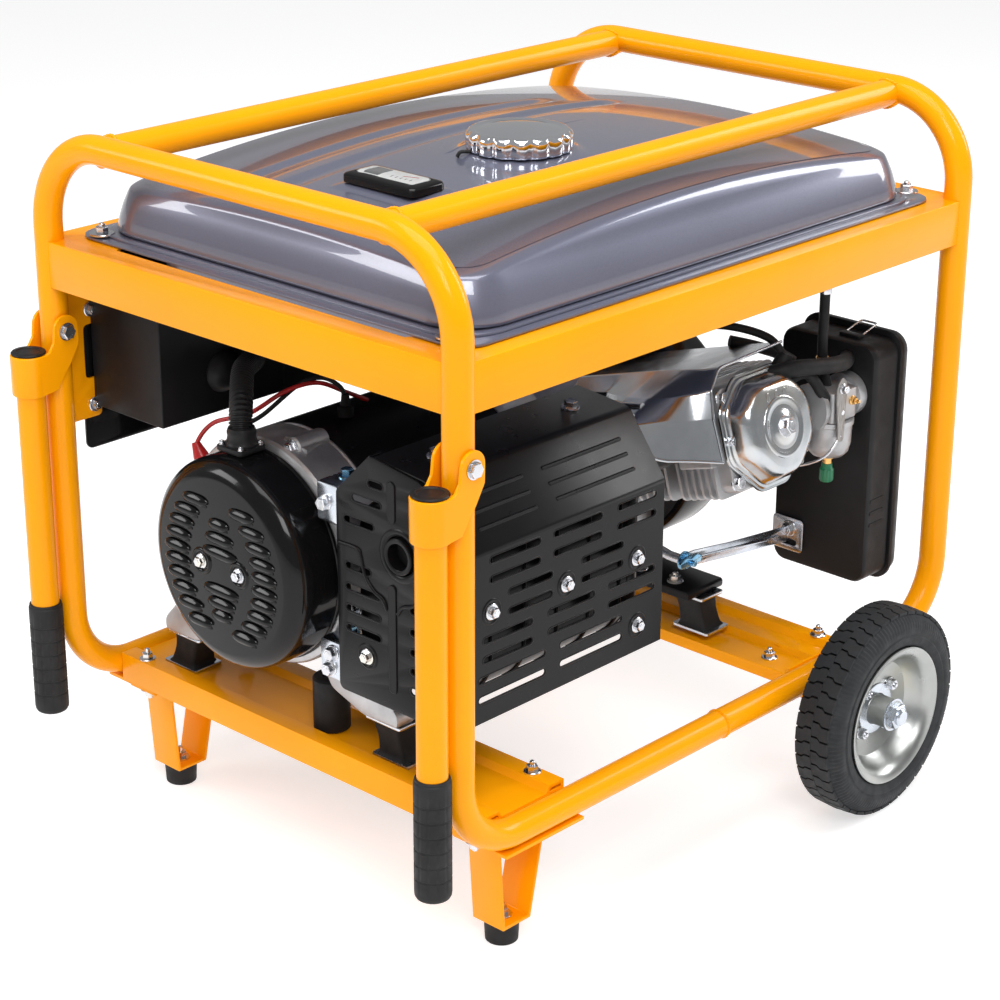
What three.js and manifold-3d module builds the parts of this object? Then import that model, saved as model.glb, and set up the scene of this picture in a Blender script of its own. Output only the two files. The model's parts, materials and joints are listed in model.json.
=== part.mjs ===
// Portable open-frame generator on two wheels, with two fold-down carrying handles.
// Millimetres, +Z up. +X is the wheel end, -X the handle and alternator end,
// -Y the muffler side, +Y the control-panel side. The floor is Z = 0.

import * as THREE from 'three';
import { mergeVertices } from 'three/addons/utils/BufferGeometryUtils.js';
import Module from 'manifold-3d';

const wasm = await Module();
wasm.setup();

// ---------------------------------------------------------------- driving sizes

const GAP = 0.3; // running gap between neighbouring pieces
const SHEET = 3; // thickness of the folded steel sheet

// tube frame
const TUBE_R = 12.7;
const POST_X = 330;
const POST_Y = 245.8;
const CROSS_Z = 636;
const BASE_Z = 127;
const TOP_BEND = 77;
const BASE_BEND = 65;
const TUBE_SIDES = 12;

// angle-iron ring that carries the tank
const RING_X = 339;
const RING_Y = 254.7;
const RING_LOW = 505;
const RING_TOP = 546;
const RING_LIP = 25;

// trays, legs and feet
const TRAY_Y = POST_Y - TUBE_R - GAP;
const TRAY_TOP = 141;
const TRAY_DIP = 135;
const LEG_Y = 210;
const LEG_WIDTH = 36;
const FOOT_X = -241.6;
const FOOT_TOP = 19.5;

// wheels
const AXLE_X = 171;
const WHEEL_R = 100;
const WHEEL_Y = 297;
const TYRE_HALF = 25;
const AXLE_R = 8;
const WHEEL_SIDES = 24;

// carrying handles, folding about a bolt through each post
const PIVOT_Z = 465;
const HANDLE_REACH = 30;
const HANDLE_TOP = -17;
const GRIP_TOP = -253;
const GRIP_END = -360;
const GRIP_OVERLAP = 40;
const EAR_IN = 13.3;
const EAR_OUT = 16.3;
const PIVOT_R = 4;

// tank
const TANK_FLOOR = 490;
const TANK_FLANGE = RING_TOP + 0.4;
const TANK_BASE = 551;
const TANK_SHOULDER = 612;
const TANK_TOP = 622;
const ARCH_RADIUS = 2050;
const CAP_X = -43;
const CAP_Y = -42;
const GAUGE_X = -186;
const GAUGE_Y = -33;
const GAUGE_PAD = 615.4;

// engine and alternator, on one shaft line along X
const SHAFT_Y = 40;
const SHAFT_Z = 295;
const SHAFT_R = 11;
const ENGINE_BASE = 172 - SHAFT_Z;
const CYLINDER_X = 118;
const CYLINDER_TILT = THREE.MathUtils.degToRad(16.5);
const DECK = 90; // from the shaft to the top of the crankcase, along the cylinder
const HEAD_LOW = 178;
const HEAD_TOP = 242;
const COVER_TOP = 270;
const COVER_FACE_X = -327;
const COVER_R = 95;
const BELL_X = -275;
const STATOR_X = -225;
const STATOR_R = 103;
const STATOR_IN = 86;
const ADAPTOR_X = -45;
const CRANKCASE_X = 20;
const FAN_X = 165;
const RECOIL_X = 225;
const RECOIL_END = 278;

// muffler, air box and control panel
const MUFFLER_END_X = -295;
const MUFFLER_SIDE_Y = -216;
const SLOT_HALF = 3.5;
const AIR_BOX_X = 248;
const AIR_LID_X = 286;
const AIR_END_X = 308;
const PANEL_Y = 248.4;
const PANEL_LEFT = -300;
const PANEL_RIGHT = 110;
const PANEL_FRONT = PANEL_Y + 3;
const SOCKETS_X = [-60, 30];
const SOCKET_Z = 425;

// the handles reach further out than the wheel end, so the frame is moved to centre the whole
const HANDLE_OUTER = POST_X + HANDLE_REACH + EAR_OUT;
const CENTRE_SHIFT = (HANDLE_OUTER - POST_X - TUBE_R) / 2;

// ---------------------------------------------------------------- materials

function material(color, roughness, metalness) {
  return new THREE.MeshStandardMaterial({ color, roughness, metalness });
}

const yellow = material(0xffaf00, 0.35, 0.1);
const blackPaint = material(0x151516, 0.3, 0.2);
const blackPlastic = material(0x18191b, 0.5, 0);
const rubber = material(0x1b1b1c, 0.8, 0);
const tyreRubber = material(0x202224, 0.85, 0);
const zinc = material(0xc9cbd0, 0.3, 0.9);
const chrome = material(0xdfe3e8, 0.12, 1);
const castAluminium = material(0xb5b6b8, 0.55, 0.8);
const tankPaint = material(0x7a7b90, 0.22, 0.5);
const copper = material(0xb06a3a, 0.5, 0.9);
const foam = material(0x3c3c3e, 0.95, 0);

// ---------------------------------------------------------------- joining and cutting

function signedVolume(position, index) {
  const a = new THREE.Vector3();
  const b = new THREE.Vector3();
  const c = new THREE.Vector3();
  let total = 0;
  for (let i = 0; i < index.length; i += 3) {
    a.fromArray(position, 3 * index[i]);
    b.fromArray(position, 3 * index[i + 1]);
    c.fromArray(position, 3 * index[i + 2]);
    total += a.dot(b.cross(c)) / 6;
  }
  return total;
}

function toSolid(geometry) {
  const bare = geometry.clone();
  bare.deleteAttribute('normal');
  bare.deleteAttribute('uv');
  const merged = mergeVertices(bare, 1e-3);
  const position = merged.attributes.position.array;
  const source = merged.index.array;
  const flip = signedVolume(position, source) < 0;
  const faces = [];
  for (let i = 0; i < source.length; i += 3) {
    const [a, b, c] = [source[i], source[i + 1], source[i + 2]];
    const collapsed = a === b || b === c || c === a;
    if (!collapsed) faces.push(a, flip ? c : b, flip ? b : c);
  }
  const mesh = new wasm.Mesh({
    numProp: 3,
    vertProperties: new Float32Array(position),
    triVerts: new Uint32Array(faces),
  });
  return new wasm.Manifold(mesh);
}

function toGeometry(solid) {
  const mesh = solid.getMesh();
  const geometry = new THREE.BufferGeometry();
  geometry.setAttribute('position', new THREE.BufferAttribute(new Float32Array(mesh.vertProperties), 3));
  geometry.setIndex(new THREE.BufferAttribute(new Uint32Array(mesh.triVerts), 1));
  geometry.computeVertexNormals();
  return geometry;
}

function join(...geometries) {
  const [first, ...rest] = geometries.map(toSolid);
  return toGeometry(rest.reduce((whole, solid) => whole.add(solid), first));
}

function cut(geometry, ...tools) {
  return toGeometry(tools.map(toSolid).reduce((whole, tool) => whole.subtract(tool), toSolid(geometry)));
}

function common(one, two) {
  return toGeometry(toSolid(one).intersect(toSolid(two)));
}

// ---------------------------------------------------------------- basic shapes

function block(x0, x1, y0, y1, z0, z1) {
  const box = new THREE.BoxGeometry(x1 - x0, y1 - y0, z1 - z0);
  return box.translate((x0 + x1) / 2, (y0 + y1) / 2, (z0 + z1) / 2);
}

// turns a geometry built about Y so that it is built about the named axis
function alongAxis(geometry, axis) {
  if (axis === 'x') geometry.rotateZ(-Math.PI / 2);
  if (axis === 'z') geometry.rotateX(Math.PI / 2);
  return geometry;
}

// a block on one side of the middle plane, between two distances from it
function sideBlock(side, x0, x1, inner, outer, z0, z1) {
  const [y0, y1] = side < 0 ? [-outer, -inner] : [inner, outer];
  return block(x0, x1, y0, y1, z0, z1);
}

// a round bar from one place to another along an axis; the centre is a point on its line
function rod(axis, radius, from, to, centre = [0, 0, 0], sides = 16) {
  const bar = new THREE.CylinderGeometry(radius, radius, to - from, sides);
  bar.translate(0, (from + to) / 2, 0);
  return alongAxis(bar, axis).translate(...centre);
}

// a turned piece; each profile point is [radius, place along the axis]
function turned(axis, profile, centre = [0, 0, 0], sides = 24) {
  const points = profile.map(([radius, along]) => new THREE.Vector2(radius, along));
  return alongAxis(new THREE.LatheGeometry(points, sides), axis).translate(...centre);
}

// a turned piece whose section closes on itself, away from the axis
function turnedRing(axis, profile, centre, sides) {
  return turned(axis, [...profile, profile[0]], centre, sides);
}

const PLANES = {
  xy: new THREE.Matrix4(),
  xz: new THREE.Matrix4().makeBasis(
    new THREE.Vector3(1, 0, 0), new THREE.Vector3(0, 0, 1), new THREE.Vector3(0, 1, 0)),
  yz: new THREE.Matrix4().makeBasis(
    new THREE.Vector3(0, 1, 0), new THREE.Vector3(0, 0, 1), new THREE.Vector3(1, 0, 0)),
};

// an outline in the named plane, carried from one place to another across it
function slab(plane, outline, from, to, holes = []) {
  const shape = new THREE.Shape(outline.map(([u, v]) => new THREE.Vector2(u, v)));
  for (const hole of holes) {
    shape.holes.push(new THREE.Path(hole.map(([u, v]) => new THREE.Vector2(u, v))));
  }
  const solid = new THREE.ExtrudeGeometry(shape, { depth: to - from, bevelEnabled: false });
  return solid.translate(0, 0, from).applyMatrix4(PLANES[plane]);
}

// points of an arc, from one angle to another in degrees
function arc(u, v, radius, fromDegrees, toDegrees, steps) {
  return Array.from({ length: steps + 1 }, (_, i) => {
    const angle = THREE.MathUtils.degToRad(fromDegrees + ((toDegrees - fromDegrees) * i) / steps);
    return [u + radius * Math.cos(angle), v + radius * Math.sin(angle)];
  });
}

function roundedRectangle(u0, u1, v0, v1, radius, steps = 3) {
  return [
    ...arc(u1 - radius, v0 + radius, radius, -90, 0, steps),
    ...arc(u1 - radius, v1 - radius, radius, 0, 90, steps),
    ...arc(u0 + radius, v1 - radius, radius, 90, 180, steps),
    ...arc(u0 + radius, v0 + radius, radius, 180, 270, steps),
  ];
}

// outline of a folded sheet: the given line and the same line offset to its left
function foldedSheet(line, thickness) {
  const offset = line.map((point, i) => {
    const here = new THREE.Vector2(...point);
    const before = i > 0 ? new THREE.Vector2(...line[i - 1]) : null;
    const after = i < line.length - 1 ? new THREE.Vector2(...line[i + 1]) : null;
    const into = before ? here.clone().sub(before).normalize() : after.clone().sub(here).normalize();
    const out = after ? after.clone().sub(here).normalize() : into;
    const bisector = new THREE.Vector2(-into.y - out.y, into.x + out.x).normalize();
    const reach = thickness / (bisector.x * -into.y + bisector.y * into.x);
    return [here.x + bisector.x * reach, here.y + bisector.y * reach];
  });
  return [...line, ...offset.reverse()];
}

// centre line of a bent tube: straight runs between corners, with an arc at each corner
class BentLine extends THREE.Curve {
  constructor(corners, radii, stepsPerBend) {
    super();
    const points = corners.map((corner) => new THREE.Vector3(...corner));
    this.stations = [points[0]];
    this.tangents = [points[1].clone().sub(points[0]).normalize()];
    for (let i = 1; i < points.length - 1; i += 1) {
      this.addBend(points[i - 1], points[i], points[i + 1], radii[i - 1], stepsPerBend);
    }
    this.stations.push(points.at(-1));
    this.tangents.push(points.at(-1).clone().sub(points.at(-2)).normalize());
  }

  addBend(before, corner, after, radius, steps) {
    const into = corner.clone().sub(before).normalize();
    const out = after.clone().sub(corner).normalize();
    const turn = into.angleTo(out);
    const start = corner.clone().addScaledVector(into, -radius * Math.tan(turn / 2));
    const side = out.clone().addScaledVector(into, -out.dot(into)).normalize();
    for (let step = 0; step <= steps; step += 1) {
      const angle = (turn * step) / steps;
      const along = start.clone().addScaledVector(into, radius * Math.sin(angle));
      this.stations.push(along.addScaledVector(side, radius * (1 - Math.cos(angle))));
      this.tangents.push(into.clone().multiplyScalar(Math.cos(angle)).addScaledVector(side, Math.sin(angle)));
    }
  }

  index(t) {
    return Math.round(t * (this.stations.length - 1));
  }

  getPoint(t) {
    return this.stations[this.index(t)].clone();
  }

  getPointAt(u) {
    return this.getPoint(u);
  }

  getTangent(t) {
    return this.tangents[this.index(t)].clone();
  }

  getTangentAt(u) {
    return this.getTangent(u);
  }
}

function tubeAlong(path, radius, steps, sides = TUBE_SIDES) {
  const section = Array.from({ length: sides }, (_, i) => {
    const angle = (2 * Math.PI * i) / sides;
    return new THREE.Vector2(radius * Math.cos(angle), radius * Math.sin(angle));
  });
  return new THREE.ExtrudeGeometry(new THREE.Shape(section), { steps, extrudePath: path });
}

function bentTube(corners, radii, radius, stepsPerBend = 6) {
  const path = new BentLine(corners, radii, stepsPerBend);
  return tubeAlong(path, radius, path.stations.length - 1);
}

// ---------------------------------------------------------------- scene helpers

const generator = new THREE.Group();
generator.position.x = CENTRE_SHIFT;

// adds a named piece; passing it through a solid merges its corners and turns its faces outwards
function piece(parent, name, finish, geometry, position = [0, 0, 0]) {
  const mesh = new THREE.Mesh(toGeometry(toSolid(geometry)), finish);
  mesh.name = name;
  mesh.position.set(...position);
  parent.add(mesh);
  return mesh;
}

function groupAt(parent, x, y, z) {
  const group = new THREE.Group();
  group.position.set(x, y, z);
  parent.add(group);
  return group;
}

// calls the maker for the muffler side (-1) and the panel side (+1)
function onBothSides(maker) {
  maker(-1, 'muffler_side');
  maker(1, 'panel_side');
}

// ---------------------------------------------------------------- frame

// one bent tube: half of each bottom side, two posts and the top cross tube
function hoop(end, radius = TUBE_R) {
  const seam = (end * GAP) / 2;
  return bentTube(
    [
      [seam, -POST_Y, BASE_Z],
      [end * POST_X, -POST_Y, BASE_Z],
      [end * POST_X, -POST_Y, CROSS_Z],
      [end * POST_X, POST_Y, CROSS_Z],
      [end * POST_X, POST_Y, BASE_Z],
      [seam, POST_Y, BASE_Z],
    ],
    [BASE_BEND, TOP_BEND, TOP_BEND, BASE_BEND],
    radius,
  );
}

// the handle-end hoop has a bolt hole through each post and a welded plate for the panel
function handleHoop() {
  const plateOutline = [
    [-325, 500], [-286, 500], [-286, 462], [-302, 462],
    [-302, 412], [-286, 412], [-286, 375], [-325, 375],
  ];
  const plate = slab('xz', plateOutline, PANEL_Y - GAP - SHEET, PANEL_Y - GAP);
  const bore = rod('y', PIVOT_R + GAP, -POST_Y - 20, POST_Y + 20, [-POST_X, 0, PIVOT_Z], 12);
  return cut(join(hoop(-1), plate), bore);
}

// a straight rail between the hoops, with its ends shaped round their cross tubes
function topRail(side) {
  const y = side * (POST_Y - TOP_BEND);
  const rail = rod('x', TUBE_R, -POST_X, POST_X, [0, y, CROSS_Z - 2.5], TUBE_SIDES);
  return cut(rail, hoop(-1, TUBE_R + GAP), hoop(1, TUBE_R + GAP));
}

// room for the four posts, and for the ring's corner outside each post
function postCutters() {
  const cutters = [];
  for (const x of [-POST_X, POST_X]) {
    for (const y of [-POST_Y, POST_Y]) {
      cutters.push(rod('z', TUBE_R + GAP, RING_LOW - 10, RING_TOP + 10, [x, y, 0], TUBE_SIDES));
      const [outX, outY] = [x * 1.1, y * 1.1];
      const corner = block(
        Math.min(x, outX), Math.max(x, outX),
        Math.min(y, outY), Math.max(y, outY),
        RING_LOW - 10, RING_TOP + 10,
      );
      cutters.push(corner);
    }
  }
  return cutters;
}

// angle-iron ring with a turned-in top lip and a wider bolting corner under each tank ear
function tankRing() {
  const outer = block(-RING_X, RING_X, -RING_Y, RING_Y, RING_LOW, RING_TOP);
  const wallX = RING_X - SHEET;
  const wallY = RING_Y - SHEET;
  const inside = block(-wallX, wallX, -wallY, wallY, RING_LOW - 1, RING_TOP - SHEET);
  const lipX = RING_X - RING_LIP;
  const lipY = RING_Y - RING_LIP;
  const corner = [[lipX, lipY - 56], [lipX - 30, lipY - 38], [lipX - 30, lipY]];
  const mirrored = (signX, signY, points) => points.map(([x, y]) => [signX * x, signY * y]);
  const opening = [
    ...mirrored(1, 1, corner),
    ...mirrored(-1, 1, corner.toReversed()),
    ...mirrored(-1, -1, corner),
    ...mirrored(1, -1, corner.toReversed()),
  ];
  return cut(outer, inside, slab('xy', opening, RING_LOW - 1, RING_TOP + 1), ...postCutters());
}

function frame() {
  const group = groupAt(generator, 0, 0, 0);
  piece(group, 'hoop_handle_end', yellow, handleHoop());
  piece(group, 'hoop_wheel_end', yellow, hoop(1));
  onBothSides((side, name) => piece(group, `top_rail_${name}`, yellow, topRail(side)));
  piece(group, 'tank_ring', yellow, tankRing());
  return group;
}

// ---------------------------------------------------------------- trays, legs, feet

// end wall of a tray, with the flat plate that is bolted up under the bottom side tube
function trayEnd(side, x0, x1, plateIn) {
  const plateLow = BASE_Z - TUBE_R - SHEET - 0.5;
  const wall = sideBlock(side, x0, x1, TRAY_Y - SHEET, TRAY_Y, plateLow, TRAY_DIP);
  const plate = sideBlock(side, x0, x1, plateIn, POST_Y + 10, plateLow, plateLow + SHEET);
  return [wall, plate];
}

// the folded section is drawn from its wheel-side flange round to the other
function trayAlternatorEnd() {
  const line = [
    [-190, 120], [-190, TRAY_TOP], [-208, TRAY_TOP], [-212, TRAY_DIP],
    [-266, TRAY_DIP], [-270, TRAY_TOP], [-287, TRAY_TOP], [-287, 114],
  ];
  const channel = slab('xz', foldedSheet(line, SHEET), -TRAY_Y, TRAY_Y);
  const ends = [-1, 1].flatMap((side) => trayEnd(side, -285, -190, LEG_Y - LEG_WIDTH / 2));
  return join(channel, ...ends);
}

// the wheel-end tray also carries the axle, in two hanging plates
function trayWheelEnd() {
  const line = [
    [199, 120], [199, TRAY_TOP], [186, TRAY_TOP], [182, TRAY_DIP],
    [162, TRAY_DIP], [158, 129], [121, 129], [121, 118],
  ];
  const channel = slab('xz', foldedSheet(line, SHEET), -TRAY_Y, TRAY_Y);
  const ends = [-1, 1].flatMap((side) => trayEnd(side, 123, 197, TRAY_Y - SHEET));
  const hangers = [-1, 1].map((side) => sideBlock(side, 160, 182, 187, 193, WHEEL_R - 14, TRAY_DIP - 1));
  const bore = rod('y', AXLE_R + GAP, -260, 260, [AXLE_X, 0, WHEEL_R], 12);
  return cut(join(channel, ...ends, ...hangers), bore);
}

// a U-shaped strap: two splayed arms and a flat bottom that the rubber foot is bolted to
function leg() {
  const line = [[-283, 107.5], [-265, 107.5], [-258.6, 20], [-224.6, 20], [-206, 107.5], [-186, 107.5]];
  return slab('xz', foldedSheet(line, SHEET), -LEG_WIDTH / 2, LEG_WIDTH / 2);
}

function foot() {
  return turned('z', [[0, 0], [14, 0], [15, 2], [15.5, FOOT_TOP], [0, FOOT_TOP]], [0, 0, 0], 20);
}

// axle bar with a washer and nut at each end
function axle() {
  const bar = rod('y', AXLE_R, -329, 329, [0, 0, 0], 12);
  const nut = (from, to) => rod('y', 12, from, to, [0, 0, 0], 6);
  return join(bar, nut(-327, -319.6), nut(319.6, 327));
}

function undercarriage() {
  const group = groupAt(generator, 0, 0, 0);
  piece(group, 'tray_alternator_end', yellow, trayAlternatorEnd());
  piece(group, 'tray_wheel_end', yellow, trayWheelEnd());
  onBothSides((side, name) => {
    piece(group, `leg_${name}`, yellow, leg(), [0, side * LEG_Y, 0]);
    piece(group, `foot_${name}`, rubber, foot(), [FOOT_X, side * LEG_Y, 0]);
  });
  piece(group, 'axle', zinc, axle(), [AXLE_X, 0, WHEEL_R]);
  piece(group, 'buffer', rubber, rod('z', 16.5, TRAY_DIP + GAP, 185, [-249, -12, 0], 16));
}

// ---------------------------------------------------------------- wheels

function tyre() {
  const h = TYRE_HALF;
  const profile = [[62, -h + 6.5], [66.5, -h + 3.8], [78, -h], [92, -h + 1], [WHEEL_R, -14],
    [WHEEL_R, 14], [92, h - 1], [78, h], [66.5, h - 3.8], [62, h - 6.5]];
  return turnedRing('y', profile, [0, 0, 0], WHEEL_SIDES);
}

// pressed steel rim: two flanges, a barrel, a centre disc and the hub sleeve
function rim() {
  const hubIn = AXLE_R + GAP;
  const profile = [
    [hubIn, -22], [14, -22], [14, -3], [50, -6], [57, -18], [66, -25], [66, -22.3], [61.5, -19.2],
    [61.5, 19.2], [66, 22.3], [66, 25], [57, 18], [52, 3], [14, 0], [14, 22], [hubIn, 22],
  ];
  return turnedRing('y', profile, [0, 0, 0], WHEEL_SIDES);
}

function wheels() {
  onBothSides((side, name) => {
    const group = groupAt(generator, AXLE_X, side * WHEEL_Y, WHEEL_R);
    group.rotation.z = side < 0 ? 0 : Math.PI;
    piece(group, `tyre_${name}`, tyreRubber, tyre());
    piece(group, `rim_${name}`, zinc, rim());
  });
}

// ---------------------------------------------------------------- carrying handles

// one ear of the bracket, from the handle tube up to the pivot
function ear(fromY, toY) {
  const outline = [[-HANDLE_REACH, -53], [-12, -51], [-2, -33], [12, -14], [12.5, 2],
    ...arc(0, 2, 12.5, 20, 170, 6), [-16, HANDLE_TOP], [-HANDLE_REACH, HANDLE_TOP]];
  return slab('xz', outline, fromY, toY);
}

function handle() {
  const tube = rod('z', TUBE_R, GRIP_TOP - GRIP_OVERLAP, HANDLE_TOP - 3, [-HANDLE_REACH, 0, 0], TUBE_SIDES);
  const collar = rod('z', EAR_OUT, -53, HANDLE_TOP, [-HANDLE_REACH, 0, 0], 24);
  const bracket = join(collar, ear(-EAR_OUT, -EAR_IN), ear(EAR_IN, EAR_OUT));
  const postRoom = rod('z', TUBE_R + GAP, -80, 80, [0, 0, 0], 24);
  const bore = rod('y', PIVOT_R + GAP, -20, 20, [0, 0, 0], 12);
  return cut(join(bracket, tube), postRoom, bore);
}

// rubber grip pushed over the tube, closed at the end
function grip() {
  const wall = TUBE_R + GAP;
  const tubeEnd = GRIP_TOP - GRIP_OVERLAP - GAP;
  const profile = [
    [0, GRIP_END], [13.5, GRIP_END], [15.4, GRIP_END + 3], [15.4, GRIP_TOP - 2],
    [14.4, GRIP_TOP], [wall, GRIP_TOP], [wall, tubeEnd], [0, tubeEnd],
  ];
  return turned('z', profile, [-HANDLE_REACH, 0, 0], 16);
}

function pivotBolt() {
  const shank = rod('y', PIVOT_R, -EAR_OUT - 2, EAR_OUT + 6, [0, 0, 0], 12);
  const head = rod('y', 7.5, -EAR_OUT - 6, -EAR_OUT - GAP, [0, 0, 0], 6);
  const nut = rod('y', 7.5, EAR_OUT + GAP, EAR_OUT + 6, [0, 0, 0], 6);
  return join(shank, head, nut);
}

function handles() {
  onBothSides((side, name) => {
    const group = groupAt(generator, -POST_X, side * POST_Y, PIVOT_Z);
    piece(group, `handle_${name}`, yellow, handle());
    piece(group, `grip_${name}`, rubber, grip());
    piece(group, `pivot_bolt_${name}`, zinc, pivotBolt());
  });
}

// ---------------------------------------------------------------- fuel tank

// a low dome with a rounded shoulder, as a bevelled rounded rectangle
function tankDome(halfX, halfY, bottom, top, shoulder, shoulderWidth) {
  const outline = roundedRectangle(-halfX, halfX, -halfY, halfY, 45, 3);
  const shape = new THREE.Shape(outline.map(([u, v]) => new THREE.Vector2(u, v)));
  const solid = new THREE.ExtrudeGeometry(shape, {
    depth: top - bottom - shoulder,
    bevelThickness: shoulder,
    bevelSize: shoulderWidth,
    bevelOffset: -shoulderWidth,
    bevelSegments: 3,
  });
  const below = block(-halfX - 5, halfX + 5, -halfY - 5, halfY + 5, bottom - 2 * shoulder, bottom);
  return cut(solid.translate(0, 0, bottom), below);
}

// the space under the arch of the tank's top, which falls towards both ends
function underArch(top) {
  const reach = 320;
  const line = [];
  for (let x = -reach; x <= reach; x += 64) line.push([x, top - (x * x) / (2 * ARCH_RADIUS)]);
  return slab('xz', [...line, [reach, TANK_FLOOR], [-reach, TANK_FLOOR]], -reach, reach);
}

function archedDome(halfX, halfY, bottom, top, shoulder, shoulderWidth) {
  return common(tankDome(halfX, halfY, bottom, top, shoulder, shoulderWidth), underArch(top));
}

function fuelTank() {
  const wall = 2.5;
  const flange = slab('xy', roundedRectangle(-311, 311, -236, 236, 30, 2), TANK_FLANGE, TANK_BASE);
  const notches = [];
  for (const x of [-1, 1]) {
    for (const y of [-1, 1]) {
      notches.push(rod('z', 9, TANK_FLANGE - 5, TANK_BASE + 5, [x * 310, y * 235, 0], 8));
    }
  }
  const pan = slab('xy', roundedRectangle(-272, 272, -186, 186, 40, 2), TANK_FLOOR, TANK_FLANGE + 1);
  const upper = archedDome(296, 224, TANK_BASE - 1, TANK_SHOULDER, 40, 32);
  const crown = archedDome(262, 172, TANK_TOP - 36, TANK_TOP, 26, 42);
  const pad = block(GAUGE_X - 23, GAUGE_X + 23, GAUGE_Y - 46, GAUGE_Y + 46, GAUGE_PAD - 12, GAUGE_PAD);
  const neck = rod('z', 30, TANK_TOP - 10, TANK_TOP + 8, [CAP_X, CAP_Y, 0], 20);
  const panHollow = slab('xy', roundedRectangle(-272 + wall, 272 - wall, -186 + wall, 186 - wall, 38, 2),
    TANK_FLOOR + wall, TANK_BASE + 4);
  const upperHollow = archedDome(296 - wall, 224 - wall, TANK_BASE + 1, TANK_SHOULDER - wall, 40, 32);
  const mouth = rod('z', 27, TANK_SHOULDER - 20, TANK_TOP + 20, [CAP_X, CAP_Y, 0], 20);
  const body = join(cut(flange, ...notches), pan, upper, crown, pad, neck);
  return cut(body, join(panHollow, upperHollow, mouth));
}

// cap with a deep rim that covers the filler neck
function fuelCap() {
  const profile = [[0, 17], [33, 17], [33, 1], [44, 1], [46.5, 3], [46.5, 16], [43, 20], [0, 20.5]];
  return turned('z', profile, [0, 0, TANK_TOP + GAP], 32);
}

function fuelGauge() {
  const outline = roundedRectangle(-20, 20, -42, 42, 7, 2);
  return slab('xy', outline, GAUGE_PAD + GAP, GAUGE_PAD + 10);
}

function fuelValve() {
  const stem = rod('z', 7, -22, 0, [0, 0, 0], 12);
  const body = block(-9, 9, -10, 10, -30, -14);
  return join(stem, body);
}

function fuelValveLever() {
  const boss = rod('y', 8, 10 + GAP, 18, [0, 0, -22], 12);
  const arm = block(-4, 4, 12, 18, -46, -22);
  return join(boss, arm);
}

function tank() {
  const group = groupAt(generator, 0, 0, 0);
  piece(group, 'fuel_tank', tankPaint, fuelTank());
  piece(group, 'fuel_cap', chrome, fuelCap(), [CAP_X, CAP_Y, 0]);
  piece(group, 'fuel_gauge', blackPlastic, fuelGauge(), [GAUGE_X, GAUGE_Y, 0]);
  const valve = groupAt(group, 160, 165, TANK_FLOOR - GAP);
  piece(valve, 'fuel_valve', castAluminium, fuelValve());
  piece(valve, 'fuel_valve_lever', blackPlastic, fuelValveLever());
}

// ---------------------------------------------------------------- engine

const engine = groupAt(generator, 0, SHAFT_Y, SHAFT_Z);
const cylinderFrame = groupAt(engine, CYLINDER_X, 0, 0);
cylinderFrame.rotation.x = Math.PI / 2 - CYLINDER_TILT;

// finned cylinder barrel, tilted out of the crankcase
function finnedBarrel() {
  const core = rod('z', 44, DECK - 2, HEAD_LOW - GAP, [0, 0, 0], 16);
  const fins = [];
  for (let z = DECK + 12; z < HEAD_LOW - 6; z += 18) {
    fins.push(block(-56, 46.7, -54, 54, z, z + 3));
  }
  return join(core, ...fins).rotateX(Math.PI / 2 - CYLINDER_TILT).translate(CYLINDER_X, 0, 0);
}

// crankcase and cylinder, which are one casting
function crankcase() {
  const barrel = rod('x', 76, CRANKCASE_X, FAN_X - GAP, [0, 0, 0], 24);
  const sump = block(CRANKCASE_X, FAN_X - GAP, -70, 74, ENGINE_BASE, -20);
  const foot = block(112, FAN_X - GAP, -160, 122, ENGINE_BASE, ENGINE_BASE + 9);
  const deck = block(-55, 46.7, -52, 52, 20, DECK);
  deck.rotateX(Math.PI / 2 - CYLINDER_TILT).translate(CYLINDER_X, 0, 0);
  const bore = rod('x', SHAFT_R + GAP, CRANKCASE_X - 5, FAN_X + 5, [0, 0, 0], 16);
  return cut(join(barrel, sump, foot, deck, finnedBarrel()), bore);
}

// head with its exhaust port on the alternator side and its intake port on the other
function cylinderHead() {
  const core = block(-52, 50, -50, 48, HEAD_LOW, HEAD_TOP);
  const fins = [];
  for (let z = HEAD_LOW + 4; z < HEAD_TOP - 16; z += 12) {
    fins.push(block(-56, 54, -54, 54, z, z + 3));
  }
  const intake = block(50, 60, -20, 24, HEAD_LOW + 10, HEAD_LOW + 52);
  const exhaust = block(-62, -52, -22, 22, HEAD_LOW + 12, HEAD_LOW + 52);
  return join(core, ...fins, intake, exhaust);
}

// eight-sided pressed cover on a flat flange
function rockerCover() {
  const corners = [[-57, 28], [-57, -20], [-20, -56], [20, -56], [57, -20], [57, 28], [30, 54], [-30, 54]];
  const outline = (scale) => corners.map(([u, v]) => [u * scale, v * scale]);
  const low = HEAD_TOP + GAP;
  const flange = slab('xy', outline(1), low, low + 4);
  const shape = new THREE.Shape(outline(0.9).map(([u, v]) => new THREE.Vector2(u, v)));
  const round = 8;
  const dome = new THREE.ExtrudeGeometry(shape, {
    depth: COVER_TOP - round - low,
    bevelThickness: round,
    bevelSize: round,
    bevelOffset: -round,
    bevelSegments: 2,
  });
  const nut = rod('z', 8, COVER_TOP - 6, COVER_TOP + 5, [0, 0, 0], 6);
  const below = block(-80, 80, -80, 80, low - 30, low);
  return cut(join(flange, dome.translate(0, 0, low), nut), below);
}

// sheet-metal duct over the cylinder: a top and a bent-down alternator side, with the exhaust's hole
function airShroud() {
  const line = [[-66, -16], [-66, 44], [-46, 64], [46, 64]];
  const sheet = slab('xy', foldedSheet(line, 2), DECK - 4, HEAD_TOP - 8);
  return cut(sheet, rod('x', 13, -75, -55, [0, 0.7, 198.4]));
}

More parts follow.
